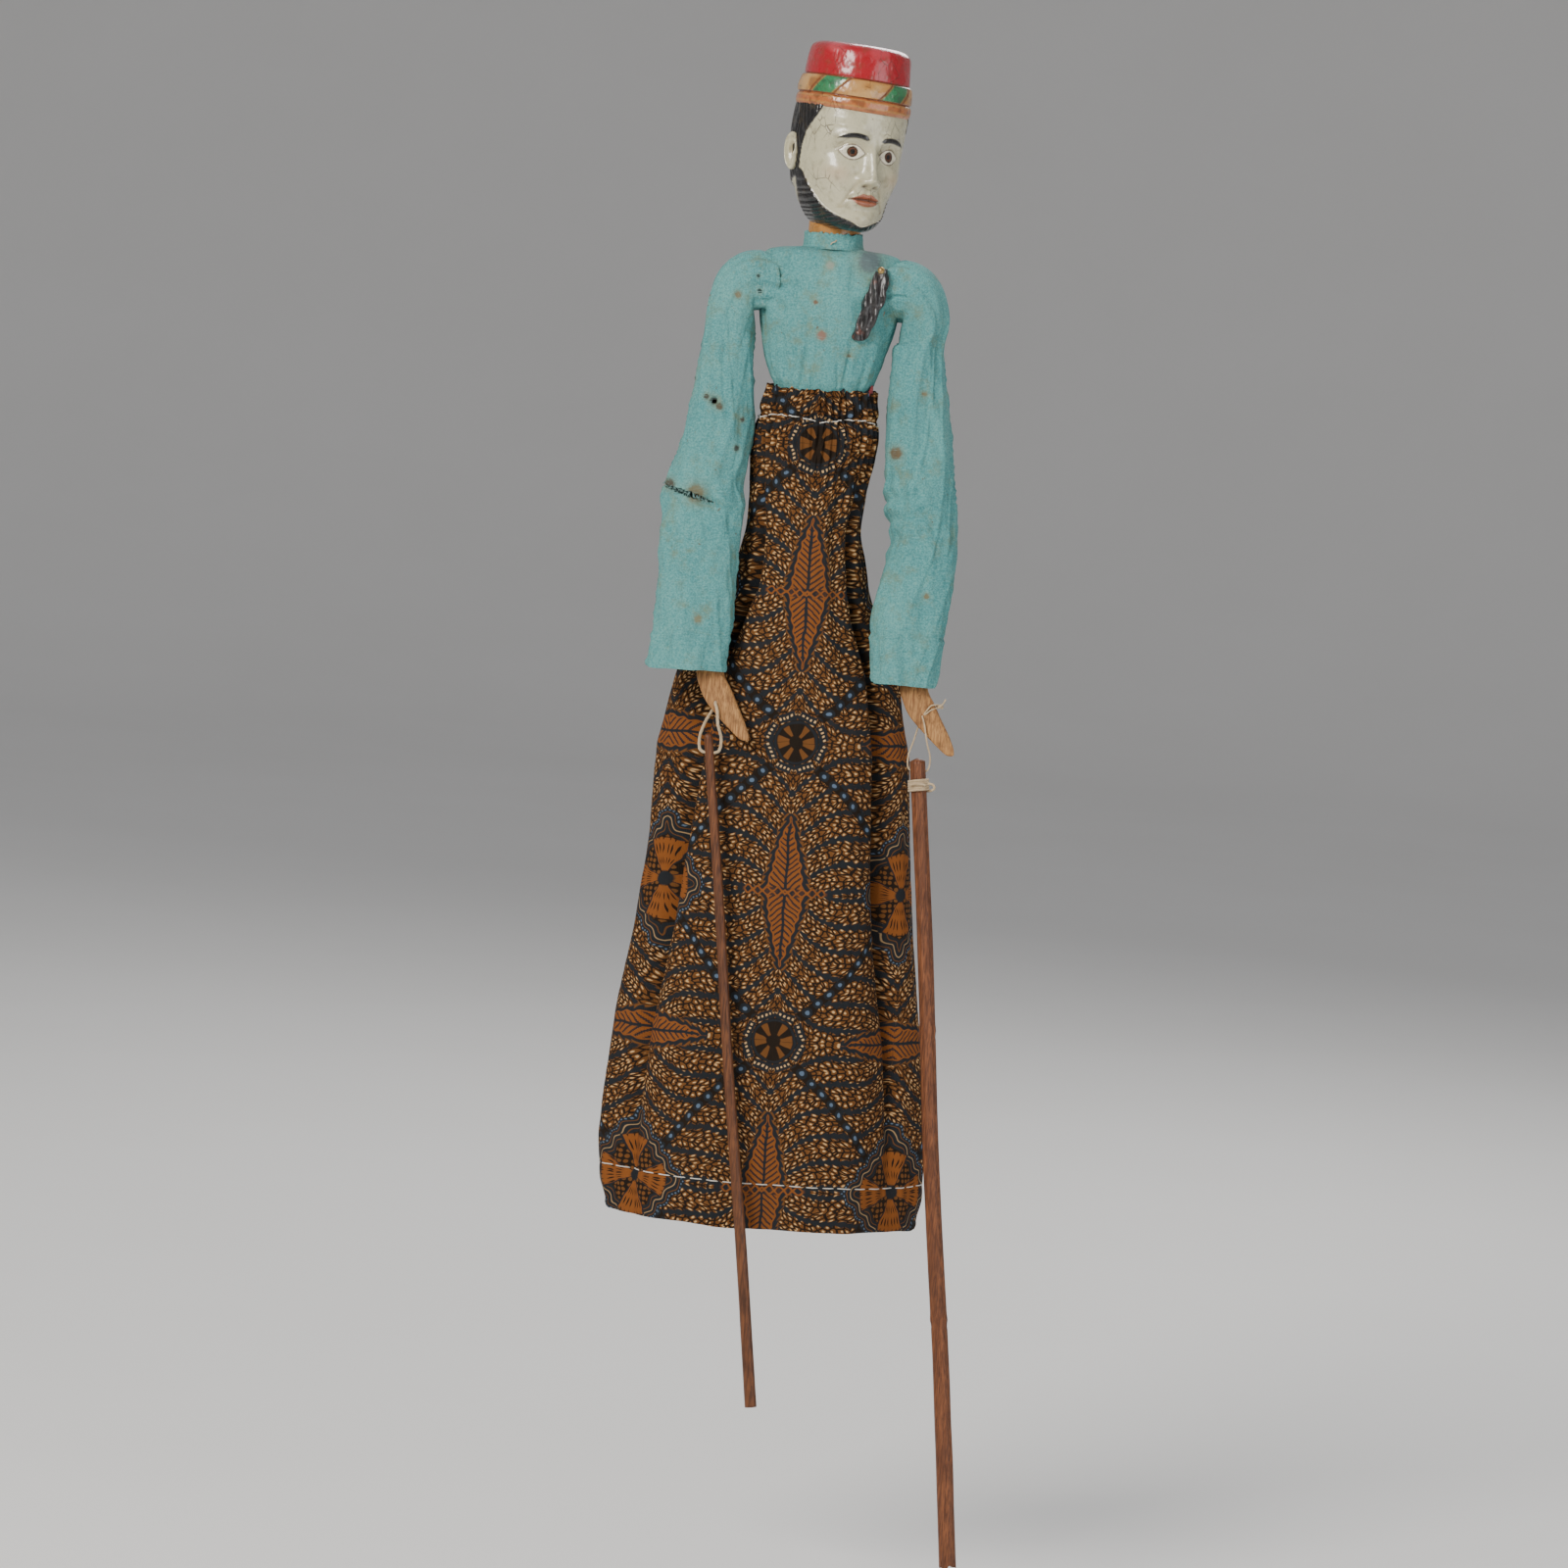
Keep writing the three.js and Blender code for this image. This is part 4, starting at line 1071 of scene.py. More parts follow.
ARM_LINE = [(530, 0), (400, -12), (297, -38), (260, -45)]


def arm_y(z):
    rows = sorted(ARM_LINE)
    return np.interp(z, [r[0] for r in rows], [r[1] for r in rows])


def tube(sections, across):
    """Rings through (middle x, middle z, across x, across z, half, depth, y) sections. The first
    ones, at the armhole, wrap the jacket's rounded side."""
    c, s = rounded_square(np.radians(across)[None, :], SLEEVE_SQUARENESS)
    middle_x, middle_z, across_x, across_z, half, depth, middle_y = np.split(sections, 7, 1)
    wrap = smoothstep(44, ARMHOLE_X, middle_x) * (middle_z > 500)
    x = middle_x + across_x * (c * half) - wrap * ARMHOLE_WRAP * np.abs(s) ** 2
    return np.stack([x, middle_y + s * depth, middle_z + across_z * (c * half)], -1)


def shoulder_sections():
    """Sections from the armhole, round the armpit, to the hanging sleeve, x outwards."""
    inner = [(ARMHOLE_X, 511.5), (41.5, 511.3), (44.2, 510.8), (43.6, 508.4), (43.2, 505.4), (42.9, 502),
             (42.7, 498)]
    outer = [(ARMHOLE_X, 546.2), (41.5, 547.2), (44.2, 547.4), (52.5, 545.6), (61.5, 539.4), (68.0, 528.5),
             (71.0, 513)]
    deep = [17.6, 18.4, 18.9, 18.9, 18.2, 17.0, 16.0]
    rows = []
    for (xi, zi), (xo, zo), depth in zip(inner, outer, deep):
        half = math.hypot(xo - xi, zo - zi) / 2
        rows.append(((xi + xo) / 2, (zi + zo) / 2, (xo - xi) / 2 / half, (zo - zi) / 2 / half, half, depth,
                     0.0))
    return rows


def sleeve_grid(side):
    rows = shoulder_sections()
    for z, middle, half, depth in SLEEVE[side]:
        rows.append((middle, z, 1.0, 0.0, half, depth, float(arm_y(z))))
    return smooth_path(rows, SLEEVE_STEPS)


def tear_line(x):
    """Height of the slit torn across the right elbow, sloping down towards the body."""
    return 393.4 + (x - 45) * 0.26


def torn(grid):
    """Quads lost from the slit at the right elbow and from a hole higher up the sleeve."""
    mid = (grid[:-1] + grid[1:]) / 2
    x, y, z = np.abs(mid[..., 0]), mid[..., 1], mid[..., 2]
    half = 1.7 * np.clip(1 - ((x - 76) / 18) ** 2, 0, 1) + 0.35 * Noise(77)(x / 1.3, z / 2)
    slit = (np.abs(z - tear_line(x)) < half) & (x > 57) & (x < 92) & (y < -10)
    hole = np.hypot(x - 63.7, (z - 457) * 1.2) + 0.5 * Noise(78)(x, z) < 1.3
    return slit | (hole & (y < 0))


def sleeve_relief(side, grid, turns, run, seed):
    """Puckers at the armhole, drag folds, creases at the elbow and a ridge at each seam."""
    big, small = Noise(seed), Noise(seed + 50)
    z = grid[..., 2]
    t = turns[None, :]
    r = run[:, None]
    lift = 1.7 * big(t / 34 + r / 60, r / 48) * smoothstep(14, 40, r)
    lift += 0.9 * small(t / 13 - r / 24, r / 26)
    lift += 0.3 * small(t / 5 + 7, r / 6) + 0.12 * small(t / 2, r / 2)
    ridge = 1 - np.abs(big(t / 22 + r / 38 + 9, r / 70 + 3))
    lift += 1.3 * (ridge ** 6 - 0.25) * smoothstep(20, 45, r)
    pucker = bump(run, 4, 6)[:, None]
    lift += pucker * (0.5 * np.sin(np.radians(t) * 13 + 5 * small(t / 30, 1)) * (1 + big(t / 20, 4)) - 0.5)
    near_elbow = bump(z, 398, 20)
    if side == "left":
        inner_side = 0.45 + 0.55 * np.cos(np.radians(t - 180))
        lift += near_elbow * inner_side * 1.5 * np.sin((r + t * 0.12) * 0.5 + 3.5 * small(t / 50, 2))
    else:
        lift += near_elbow * 0.8 * np.sin((r + t * 0.16) * 0.36 + 4 * small(t / 45, r / 40))
        tear = z - tear_line(np.abs(grid[..., 0]))
        lift += np.cos(np.radians(t - 270)).clip(0) * (1.5 * bump(tear, 4, 3.5) - 1.4 * bump(tear, -2, 2.5))
    cuff_seam = 321 if side == "right" else 328
    lift -= 1.0 * bump(z, cuff_seam, 1.1)
    lift += 0.6 * bump(z, cuff_seam - 3, 1.8)
    lift += 0.6 * bump(z, CUFF + 2, 1.8) - 0.35 * bump(z, CUFF + 6, 0.8)
    return lift


def make_sleeve(side):
    """Three pieces: across the armhole, over the shoulder and down to the upper arm, and over the elbow to
    the cuff."""
    sign = SIGN[side]
    sections = sleeve_grid(side)
    turns = np.linspace(0, 360, 145)[:-1]
    plain = tube(sections, turns)
    centre = plain.mean(1, keepdims=True)
    middle = np.linalg.norm(np.diff(sections[:, [0, 1, 6]], axis=0), axis=1)
    run = np.concatenate([[0], np.cumsum(middle)])
    out = plain - centre
    out /= np.linalg.norm(out, axis=2, keepdims=True)
    grid = plain + out * sleeve_relief(side, plain, turns, run, 21 if side == "right" else 31)[..., None]
    grid[..., 2] += 0.8 * Noise(5)(turns / 25, 0.4)[None, :] * bump(sections[:, 1], CUFF, 4)[:, None]
    grid[..., 0] *= sign
    # The sections go from the shoulder down; a shell wants rows that go up and turn anticlockwise.
    order = grid[::-1] if sign > 0 else grid[::-1, ::-1]
    length = np.linalg.norm(np.diff(order, axis=1, append=order[:, :1]), axis=2)
    u = np.concatenate([np.zeros((len(order), 1)), np.cumsum(length, 1)], 1)
    v = np.repeat((run[-1] - run[::-1])[:, None], u.shape[1], 1)
    uv = np.stack([u, v], -1) * MM
    rows = len(order)
    head_row = rows - 1 - 2 * SLEEVE_STEPS
    hanging = sections[::-1, 1][:rows - 5 * SLEEVE_STEPS]
    split = int(np.argmin(np.abs(hanging - SLEEVE_SPLIT)))
    pieces = {
        "head": (head_row, rows, "torso", f"{side}_shoulder_cord", (0.0398, 0, 0.53), (0.0441, 0, 0.53)),
        "upper": (split, head_row + 1, f"{side}_shoulder_cord", f"{side}_upper_arm",
                  (0.0443, 0, 0.5107), (0.0703, 0, 0.4957)),
        "lower": (0, split + 1, f"{side}_upper_arm", f"{side}_forearm", *ELBOW_BLEND),
    }
    made, sizes = {}, {}
    for part, (low, high, first, second, *places) in pieces.items():
        start, end = ((sign * x, y, z) for x, y, z in places)
        piece = order[low:high]
        holes = torn(piece) if side == "right" else None
        obj = shell(f"{side}_sleeve_{part}_cloth", piece, CLOTH, uv[low:high], holes)
        dress(obj, "teal")
        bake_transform(obj)
        made[part] = obj
        sizes[part] = flat_size(piece)
    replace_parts(made["upper"], f"{side}_sleeve_upper")
    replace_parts(made["lower"], f"{side}_sleeve_lower")
    return made


def make_frays(sleeve_piece):
    """Loose threads along the slit at the right elbow, and at the armhole where a seam has parted."""
    rng = np.random.default_rng(17)
    face = np.array([v.co for v in sleeve_piece.data.vertices]) / MM
    roots = []
    for x in np.arange(58, 90, 1.1):
        for lift in (-1.4, 1.4):
            spot = np.array([-x, -28.0, tear_line(x) + lift])
            near = face[np.argmin(np.abs(face[:, 0] - spot[0]) + np.abs(face[:, 2] - spot[2])
                                  + 0.2 * np.abs(face[:, 1] - spot[1]))]
            roots.append((near, (rng.uniform(-0.4, 0.4), -0.7, -lift)))
    frays = frayed_threads("elbow_frays", roots, 0.35, 2.4, 0.16, "fray", None, 18)
    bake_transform(frays)
    roots = [((-39.5 + 0.02 * k, -17.6 + 0.25 * k, 536 - 2.6 * k), (-0.3, -1, 0.2)) for k in range(9)]
    frayed_threads("armhole_frays", roots, 0.5, 3.0, 0.17, "fray", "torso", 19)


# ------------------------------------------------------------------ arms, hands, rods and cords
WRIST_Z = 297
WRIST_X = {"right": -53.5, "left": 66.5}
TIP_X = {"right": -30, "left": 91}
HOLE = {"right": (-49, 281), "left": (73, 282)}
EYE = {"right": (-50.5, -44, 251), "left": (72.8, -44, 249)}
ROD_END = {"right": (2.6, -76, -130), "left": (125.4, -90, -216.5)}
ROD_TOP = {"right": 12, "left": 8}
ROD_RADIUS = {"right": (2.6, 3.5), "left": (4.7, 5.2)}
LASHING_TURNS, LASHING_START, LASHING_PITCH = 5, 4.9, 1.35
LOOP_HALF = {"right": 5.5, "left": 5.6}
LOOP_CORD = {"right": 1.0, "left": 0.55}
# Height, half width and half depth of the forearm and hand, from the elbow to the fingertips.
FOREARM_LEVELS = [(396, 4.2, 3.4), (385, 5.6, 4.2), (372, 6.4, 5.6), (360, 7.0, 6.6), (330, 7.0, 6.2),
                  (309, 7.0, 5.0), (297, 8.2, 4.1), (290, 9.1, 3.3), (281, 9.0, 3.0), (271, 7.1, 2.6),
                  (264, 4.7, 2.0), (260.6, 2.8, 1.5), (259.6, 1.0, 0.7)]


def make_forearm(side):
    sign = SIGN[side]
    path = [(400, sign * 64), (WRIST_Z, WRIST_X[side]), (283, WRIST_X[side] + 6.5),
            (271, TIP_X[side] - 8.5), (260, TIP_X[side])]
    rows = smooth_path([(z, table(path, z, 2.2), rx, ry) for z, rx, ry in FOREARM_LEVELS], 9)[::-1]
    turns = ring_angles(64)
    c, s = rounded_square(turns, 2.2 + 1.3 * smoothstep(305, 288, rows[:, 0:1]))
    cuts = 0.25 * Noise(61)(turns * 2.2, rows[:, 0:1] / 14) + 0.12 * Noise(62)(turns * 6, rows[:, 0:1] / 5)
    x = rows[:, 1:2] + (rows[:, 2:3] + cuts) * c
    y = arm_y(rows[:, 0:1]) + (rows[:, 3:4] + cuts * 0.6) * s
    grid = np.stack([x, y, rows[:, 0:1] + 0 * x], -1)
    obj = solid_grid(f"{side}_forearm_carving", grid)
    dress(obj, "hand", f"{side}_forearm")
    return obj


def rod_axis(side):
    eye, end = np.array(EYE[side], float), np.array(ROD_END[side], float)
    way = (end - eye) / np.linalg.norm(end - eye)
    return eye, end, way


def make_rod(side):
    """Right: a round stick with a rubbed, rounded top. Left: a split bamboo strip with grooves along
    it, low joints and a splintered foot."""
    eye, end, way = rod_axis(side)
    top = eye - way * ROD_TOP[side]
    length = np.linalg.norm(end - top)
    up = -way
    across = np.cross([0, 1.0, 0], up)
    across /= np.linalg.norm(across)
    deep = np.cross(up, across)
    t = np.linspace(0, 1, 260)
    turns = ring_angles(48)
    low, high = ROD_RADIUS[side][1], ROD_RADIUS[side][0]
    radius = (low + (high - low) * t)[:, None]
    rough = Noise(70 if side == "right" else 80)
    run = (t * length)[:, None]
    r = radius * (1 + 0.02 * rough(turns * 1.3, run / 30) + 0.02 * rough(turns * 5, run / 22))
    if side == "left":
        grooves = np.abs(np.sin(turns * 4 + 0.4 * rough(0.5, run / 60)))
        r = r * (0.99 - 0.1 * (1 - grooves) ** 2)
        for joint in (0.335, 0.69):
            r = r * (1 + 0.07 * bump(run, (1 - joint) * length, 2.2)
                     - 0.05 * bump(run, (1 - joint) * length - 3.5, 1.6))
    head = np.clip((length - run) / (radius * (0.3 if side == "left" else 1.1)), 0, 1)
    r = r * np.sqrt(np.maximum(1 - (1 - head) ** 2, 0.012))
    bend = (0.8 if side == "left" else 0.5) * (np.sin(t * math.pi * 3) * np.sin(t * math.pi))[:, None]
    centre = end[None, :] + up[None, :] * run + across[None, :] * bend
    round_it = across * (r * np.cos(turns))[..., None] + deep * (r * np.sin(turns))[..., None]
    grid = centre[:, None, :] + round_it
    if side == "left":
        splinter = 5 * np.abs(rough(turns[0] * 2.4, 0.3)) + 2
        fade = smoothstep(9, 0, run[:, 0])
        grid += up[None, None, :] * (splinter[None, :] * fade[:, None])[..., None]
    obj = solid_grid(f"{side}_rod_stick", grid)
    dress(obj, "bamboo" if side == "left" else "rod", f"{side}_arm_rod")
    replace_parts(obj, f"{side}_arm_rod")
    return obj


def loop_path(side):
    hole_x, hole_z = HOLE[side]
    hole = np.array([hole_x, arm_y(hole_z), hole_z])
    eye = np.array(EYE[side], float)
    wide, deep = LOOP_HALF[side], 3 + LOOP_CORD[side] + 1
    return smooth_path([
        eye, eye + (wide, 0, 1.5), eye + (wide + 0.8, -1, 9), eye + (wide * 0.7, -4.4, 17.5),
        hole + (1.4, -deep - 0.6, -5), hole + (0, -deep, -0.8), hole, hole + (0, deep, -0.8),
        hole + (-1.4, deep + 0.6, -5), eye + (-wide * 0.7, 4.4, 17.5), eye + (-wide - 0.8, 1, 9),
        eye + (-wide, 0, 1.5),
    ], 14, closed=True)


def make_loop(side):
    obj = cord(f"{side}_loop_cord", loop_path(side), LOOP_CORD[side], closed=True, around=14)
    dress(obj, "string", f"{side}_hand_loop")
    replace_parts(obj, f"{side}_hand_loop")


def make_lashing():
    """Cord bound round the left rod's head, with its loose end and the bar it is tied under."""
    eye, _, way = rod_axis("left")
    across = np.cross(way, [0, 1.0, 0])
    across /= np.linalg.norm(across)
    deep = np.cross(way, across)
    radius = ROD_RADIUS["left"][0] + 1.0
    path = []
    for turn in np.linspace(0, 2 * math.pi * LASHING_TURNS, 150):
        down = LASHING_START + turn / (2 * math.pi) * LASHING_PITCH
        path.append(eye + way * down + radius * (across * math.cos(turn) + deep * math.sin(turn)))
    coil = cord("lashing_coil", np.array(path), 0.85, around=10)
    tail = [path[-1] + step for step in ((0, 0, 0), (1.5, -1.6, 0.5), (3.2, -2.6, 2.0), (2.5, -2.9, 4.0),
                                         (-0.5, -2.4, 4.6), (-2.4, -2.0, 3.0))]
    end = cord("lashing_tail", smooth_path(tail, 8), 0.8, around=10)
    cross = [path[70] + step for step in ((-2, -1.2, 0.3), (0, -2.2, 1.0), (4, -2.4, 1.4), (7, -1.4, 0.9))]
    bar = cord("lashing_end", smooth_path(cross, 8), 0.8, around=10)
    lashing = dress(joined("rod_head_lashing", [coil, end, bar]), "string", "left_arm_rod")
    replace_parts(lashing, "left_rod_lashing")


def make_knot():
    """Knot beside the left hand, its end and the strands that run to the palm."""
    knot_z = 288
    wrist = np.interp(knot_z, [283, WRIST_Z], [WRIST_X["left"] + 6.5, WRIST_X["left"]])
    middle = np.array([wrist + 12, arm_y(knot_z), knot_z])
    turns = np.linspace(0, 2 * math.pi, 60, endpoint=False)
    trefoil = np.stack([np.sin(turns) + 2 * np.sin(2 * turns), np.cos(turns) - 2 * np.cos(2 * turns),
                        -1.2 * np.sin(3 * turns)], -1) * 0.62
    knot = cord("knot_turns", middle + trefoil, 0.75, closed=True, around=9)
    strands = []
    for lean in (-0.8, 0.9):
        line = [middle + (-1, -0.6, lean), middle + (-5, -3.6, lean * 1.6 - 1),
                middle + (-7.5, -4.4, lean - 3.6), middle + (-9.4, -3.4, -5.8)]
        strands.append(cord("knot_strand", smooth_path(line, 8), 0.5, around=8))
    ends = cord("knot_end", smooth_path([middle, middle + (2, 0.5, 1.8), middle + (3.2, 0.3, 4.4)], 6), 0.5,
                around=8)
    knot = dress(joined("palm_string_knot", [knot, ends] + strands), "string", "left_forearm")
    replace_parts(knot, "left_hand_knot")


def make_sash():
    """Red cloth wound round the waist under the sarong, with a corner that shows at the left."""
    turns = ring_turns(180)
    share = np.linspace(0, 1, 12)[:, None]
    corner = SASH_CORNER * bump(turns, 336, 8)[None, :]
    z = SASH_LOW + share * (SASH_TALL + corner)
    c, s = rounded_square(np.radians(turns)[None, :], TRUNK_SQUARENESS)
    out = 1.0 + 0.2 * fine_noise(turns[None, :] / 8, z / 5) + 1.6 * share ** 3 * corner / SASH_CORNER
    x, y = (28.7 + out) * c, (20.7 + out) * s
    u = np.repeat(np.radians(np.append(turns, 450))[None, :] * 26, 12, 0)
    v = np.repeat(z.mean(1, keepdims=True), 181, 1)
    sash = shell("waist_sash_cloth", np.stack([x, y, z], -1), 0.6, np.stack([u, v], -1) * MM)
    dress(sash, "red", "torso")
    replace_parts(sash, "waist_sash")


def make_ornament():
    """Crumpled strip hung from the ball-headed pin."""
    rows = smooth_path([(29.5, -17.4, 541.5, 3.2), (29.2, -19.8, 535, 4.8), (27.4, -22.2, 527, 6.3),
                        (24.6, -23.4, 517, 6.0), (22, -23.2, 508, 5.2), (19.4, -22.9, 500.5, 4.6),
                        (18.6, -22.7, 498.4, 2.4)], 10)[::-1]
    turns = ring_angles(56)
    crumple = Noise(91)
    flow = rows[:, 2:3]
    c, s = rounded_square(turns, 2.6)
    wide = rows[:, 3:4] * (1 + 0.16 * crumple(flow / 6, 0.3) + 0.08 * crumple(flow / 2.2, 1.7))
    ridges = 0.75 * crumple(turns * 2.2 + flow / 30, flow / 7) + 0.4 * crumple(turns * 6, flow / 3)
    x = rows[:, 0:1] + wide * c
    y = rows[:, 1:2] + (1.3 + ridges * 1.3) * s + 0.8 * np.sin(x * 1.1 + flow * 0.12)
    obj = solid_grid("chest_strip", np.stack([x, y, flow + 0 * x], -1))
    dress(obj, "leather", "torso")
    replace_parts(obj, "chest_ornament")


# ------------------------------------------------------------------ head and cap
# Heights in the head's own frame, whose origin is the neck's pivot: (z, half width, front, back).
SKULL = [(3, 9, 25, 3), (4.5, 13.5, 29.2, 7), (8, 18.2, 31.6, 13), (15, 23, 33, 22), (26, 27, 33.6, 30),
         (40, 30, 33.4, 35), (54, 31, 34, 37), (66, 31, 34, 37), (74, 30.4, 33.2, 36)]
HEAD_TURN, HEAD_TILT, NECK_PIVOT = 27, 4.4, 560
EYE_Z, EYE_X, BROW_Z, NOSE_Z, MOUTH_Z = 48.5, 12.4, 56.5, 32.5, 21.8
PAINT = {
    "skin": (188, 182, 152), "shadow": (150, 136, 100), "hair": (16, 14, 14), "lip": (158, 92, 66),
    "white": (222, 214, 190), "iris": (84, 48, 26), "pupil": (8, 8, 8), "line": (70, 44, 26),
    "blush": (190, 150, 120), "neck": (178, 122, 56), "red": (160, 14, 28), "pink": (206, 84, 92),
    "green": (44, 120, 74), "leaf": (30, 84, 54), "gold": (178, 126, 64), "rim": (172, 100, 52),
    "cream": (198, 160, 104), "brown": (108, 58, 30),
}


def posed(points):
    """From the head's own frame to the puppet's: turned to its left, then tilted."""
    a, b = math.radians(HEAD_TURN), math.radians(HEAD_TILT)
    x, y, z = points[..., 0], points[..., 1], points[..., 2]
    x, y = x * math.cos(a) - y * math.sin(a), x * math.sin(a) + y * math.cos(a)
    x, z = x * math.cos(b) + z * math.sin(b), z * math.cos(b) - x * math.sin(b)
    return np.stack([x, y, z + NECK_PIVOT], -1)


def head_ring(turns, rows, power):
    """Rings of (height, half width, front, back) rows, squared off by power."""
    wide, deep = rounded_square(np.radians(turns)[None, :], power)
    return rows[:, 1:2] * wide, np.where(deep < 0, rows[:, 2:3], rows[:, 3:4]) * deep


class Painter:
    """Colours for a grid of points, laid one over another."""

    def __init__(self, shape, name):
        self.value = np.ones(shape + (3,)) * np.array(srgb(*PAINT[name])[:3])

    def lay(self, name, amount):
        amount = np.clip(amount, 0, 1)[..., None]
        self.value = self.value * (1 - amount) + np.array(srgb(*PAINT[name])[:3]) * amount


def almond(x, z, half, tall):
    """One inside an eye-shaped outline round the origin, falling below zero outside it."""
    return 1 - (x / half) ** 2 - (z / (tall * np.sqrt(np.maximum(1 - (x / half) ** 2, 0.02)) + 0.3)) ** 2


def face_relief(x, z):
    """Carved relief of a calm, evenly proportioned face: how far forward, and how far outwards."""
    ax = np.abs(x)
    # Height, how far the nose stands out, and its width.
    nose_rows = [(27.5, 0, 5), (29.5, 3.4, 5), (31, 6.6, 5), (33, 8.4, 4.6), (36, 7.8, 4), (41, 5.6, 3.5),
                 (47, 3.4, 3.2), (52, 1.8, 3.6), (58, 0.6, 6), (62, 0, 8)]
    height = table([(r[0], r[1]) for r in nose_rows], z, 0.7)
    width = table([(r[0], r[2]) for r in nose_rows], z, 1)
    forward = height * np.exp(-np.abs(x / width) ** 2.4)
    forward += 3.4 * spot(ax - 5.6, 2.7, z - NOSE_Z, 3.0)
    forward -= 2.2 * spot(ax - 3.1, 1.5, z - 29.8, 1.1)
    out = -3.6 * spot(ax - EYE_X, 8.6, z - EYE_Z - 0.5, 5.4)
    lid = almond(ax - EYE_X, z - EYE_Z, 7.6, 4.2)
    out += 2.4 * np.sqrt(np.clip(lid, 0, 1))
    out += 0.75 * bump(lid, -0.12, 0.22)
    crease = almond(ax - EYE_X, z - EYE_Z - 0.8, 9.2, 6.4)
    out -= 0.45 * bump(crease, -0.05, 0.16) * (z > EYE_Z)
    brow = BROW_Z + 1.6 - 0.028 * (ax - 11) ** 2
    out += 1.5 * bump(z, brow, 3.2) * smoothstep(2, 7, ax) * smoothstep(25, 19, ax)
    out += 1.7 * spot(ax - 19, 7.5, z - 36.5, 6.5)
    out -= 0.9 * spot(ax - 19, 8, z - 22, 7)
    fold = ax - (6.6 + (33 - z) * 0.42)
    out -= 0.65 * bump(fold, 0, 1.3) * smoothstep(15, 21, z) * smoothstep(35, 31, z)
    bow = MOUTH_Z + 2.1 + 0.7 * bump(ax, 2.6, 2) - 0.018 * ax ** 2
    side = smoothstep(11.2, 7.2, ax)
    out += 1.75 * bump(z, bow, 1.5) * side
    out += 2.15 * bump(z, MOUTH_Z - 2.1 + 0.016 * ax ** 2, 1.7) * smoothstep(9.8, 5, ax)
    out -= 1.5 * bump(z, MOUTH_Z - 0.004 * ax ** 2, 0.62) * smoothstep(11.5, 9, ax)
    out -= 0.55 * spot(x, 1.5, z - 27, 2)
    out -= 1.0 * spot(x, 7, z - 15.6, 1.9)
    out += 2.0 * spot(x, 7.5, z - 9.5, 4.6)
    return forward, out


def hair_and_locks(turns, x, y, z):
    """Where hair grows, and its combed ridges: behind the ears, and as a beard along the jaw."""
    ax = np.abs(x)
    streaks = Noise(41)
    edge_y = table([(30, 2), (36, -1), (48, -3), (57, -6), (66, -13), (74, -17)], z, 2)
    nape = 30 - 11 * smoothstep(4, 34, y)
    hairline = smoothstep(-0.8, 0.8, y - edge_y) * smoothstep(-0.8, 0.8, z - nape)
    jaw_line = (8.6 + 0.021 * np.maximum(ax - 3, 0) ** 2 + 0.0035 * np.maximum(ax - 14, 0) ** 3
                - 2.6 * bump(ax, 0, 5))
    beard = smoothstep(0.7, -0.7, z - jaw_line) * smoothstep(9, 2, y)
    hair = np.maximum(hairline, beard)
    swirl = 2.2 * streaks(turns[None, :] / 9, z / 9)
    combed = np.abs(np.sin((turns[None, :] * 0.9 + 0.5 * z) * 0.55 + swirl))
    along_jaw = np.abs(np.sin(ax * 0.95 + z * 0.55 + 2 * streaks(x / 5, z / 5)))
    lock = np.where(beard > 0.5, along_jaw, combed)
    return hair, lock


def paint_face(x, z, facing, hair):
    """Skin, eyes, brows, lips and hair. facing is 1 on the front of the head."""
    ax = np.abs(x)
    paint = Painter(z.shape, "skin")
    paint.lay("shadow", 0.55 * facing * spot(ax - EYE_X, 9, z - EYE_Z - 3.5, 3))
    beside_mouth = bump(ax - (6.6 + (33 - z) * 0.42), 0, 1.4) * (z > 15) * (z < 34)
    paint.lay("shadow", 0.5 * facing * beside_mouth)
    paint.lay("blush", 0.35 * facing * spot(ax - 18, 6, z - 35, 5))
    eye = almond(ax - EYE_X, z - EYE_Z, 7.4, 4.0)
    paint.lay("line", facing * smoothstep(-0.32, -0.1, eye))
    paint.lay("white", facing * smoothstep(0.0, 0.14, eye))
    gaze = np.hypot(ax - EYE_X, (z - EYE_Z - 0.2))
    inside = facing * smoothstep(0.02, 0.1, eye)
    paint.lay("pupil", inside * smoothstep(3.35, 3.05, gaze))
    paint.lay("iris", inside * smoothstep(2.75, 2.45, gaze))
    paint.lay("pupil", inside * smoothstep(1.6, 1.35, gaze))
    brow_line = BROW_Z + 1.8 - 0.03 * (ax - 11) ** 2
    brow_width = 1.55 * smoothstep(3.4, 6, ax) * smoothstep(22.5, 15, ax)
    brow = smoothstep(0.35, -0.35, np.abs(z - brow_line) - brow_width) * (brow_width > 0.2)
    paint.lay("hair", facing * brow)
    bow = MOUTH_Z + 2.9 + 0.8 * bump(ax, 2.6, 2) - 0.035 * ax ** 2
    low = MOUTH_Z - 4.0 + 0.045 * ax ** 2
    lips = smoothstep(0.3, -0.3, z - bow) * smoothstep(-0.3, 0.3, z - low) * smoothstep(10.6, 9.8, ax)
    paint.lay("lip", facing * lips)
    paint.lay("line", facing * 0.85 * bump(z - MOUTH_Z + 0.004 * ax ** 2, 0, 0.55) * smoothstep(11, 10, ax))
    paint.lay("line", facing * 0.9 * spot(ax - 3.1, 1.4, z - 29.6, 0.9))
    paint.lay("hair", smoothstep(0.35, 0.65, hair))
    return paint


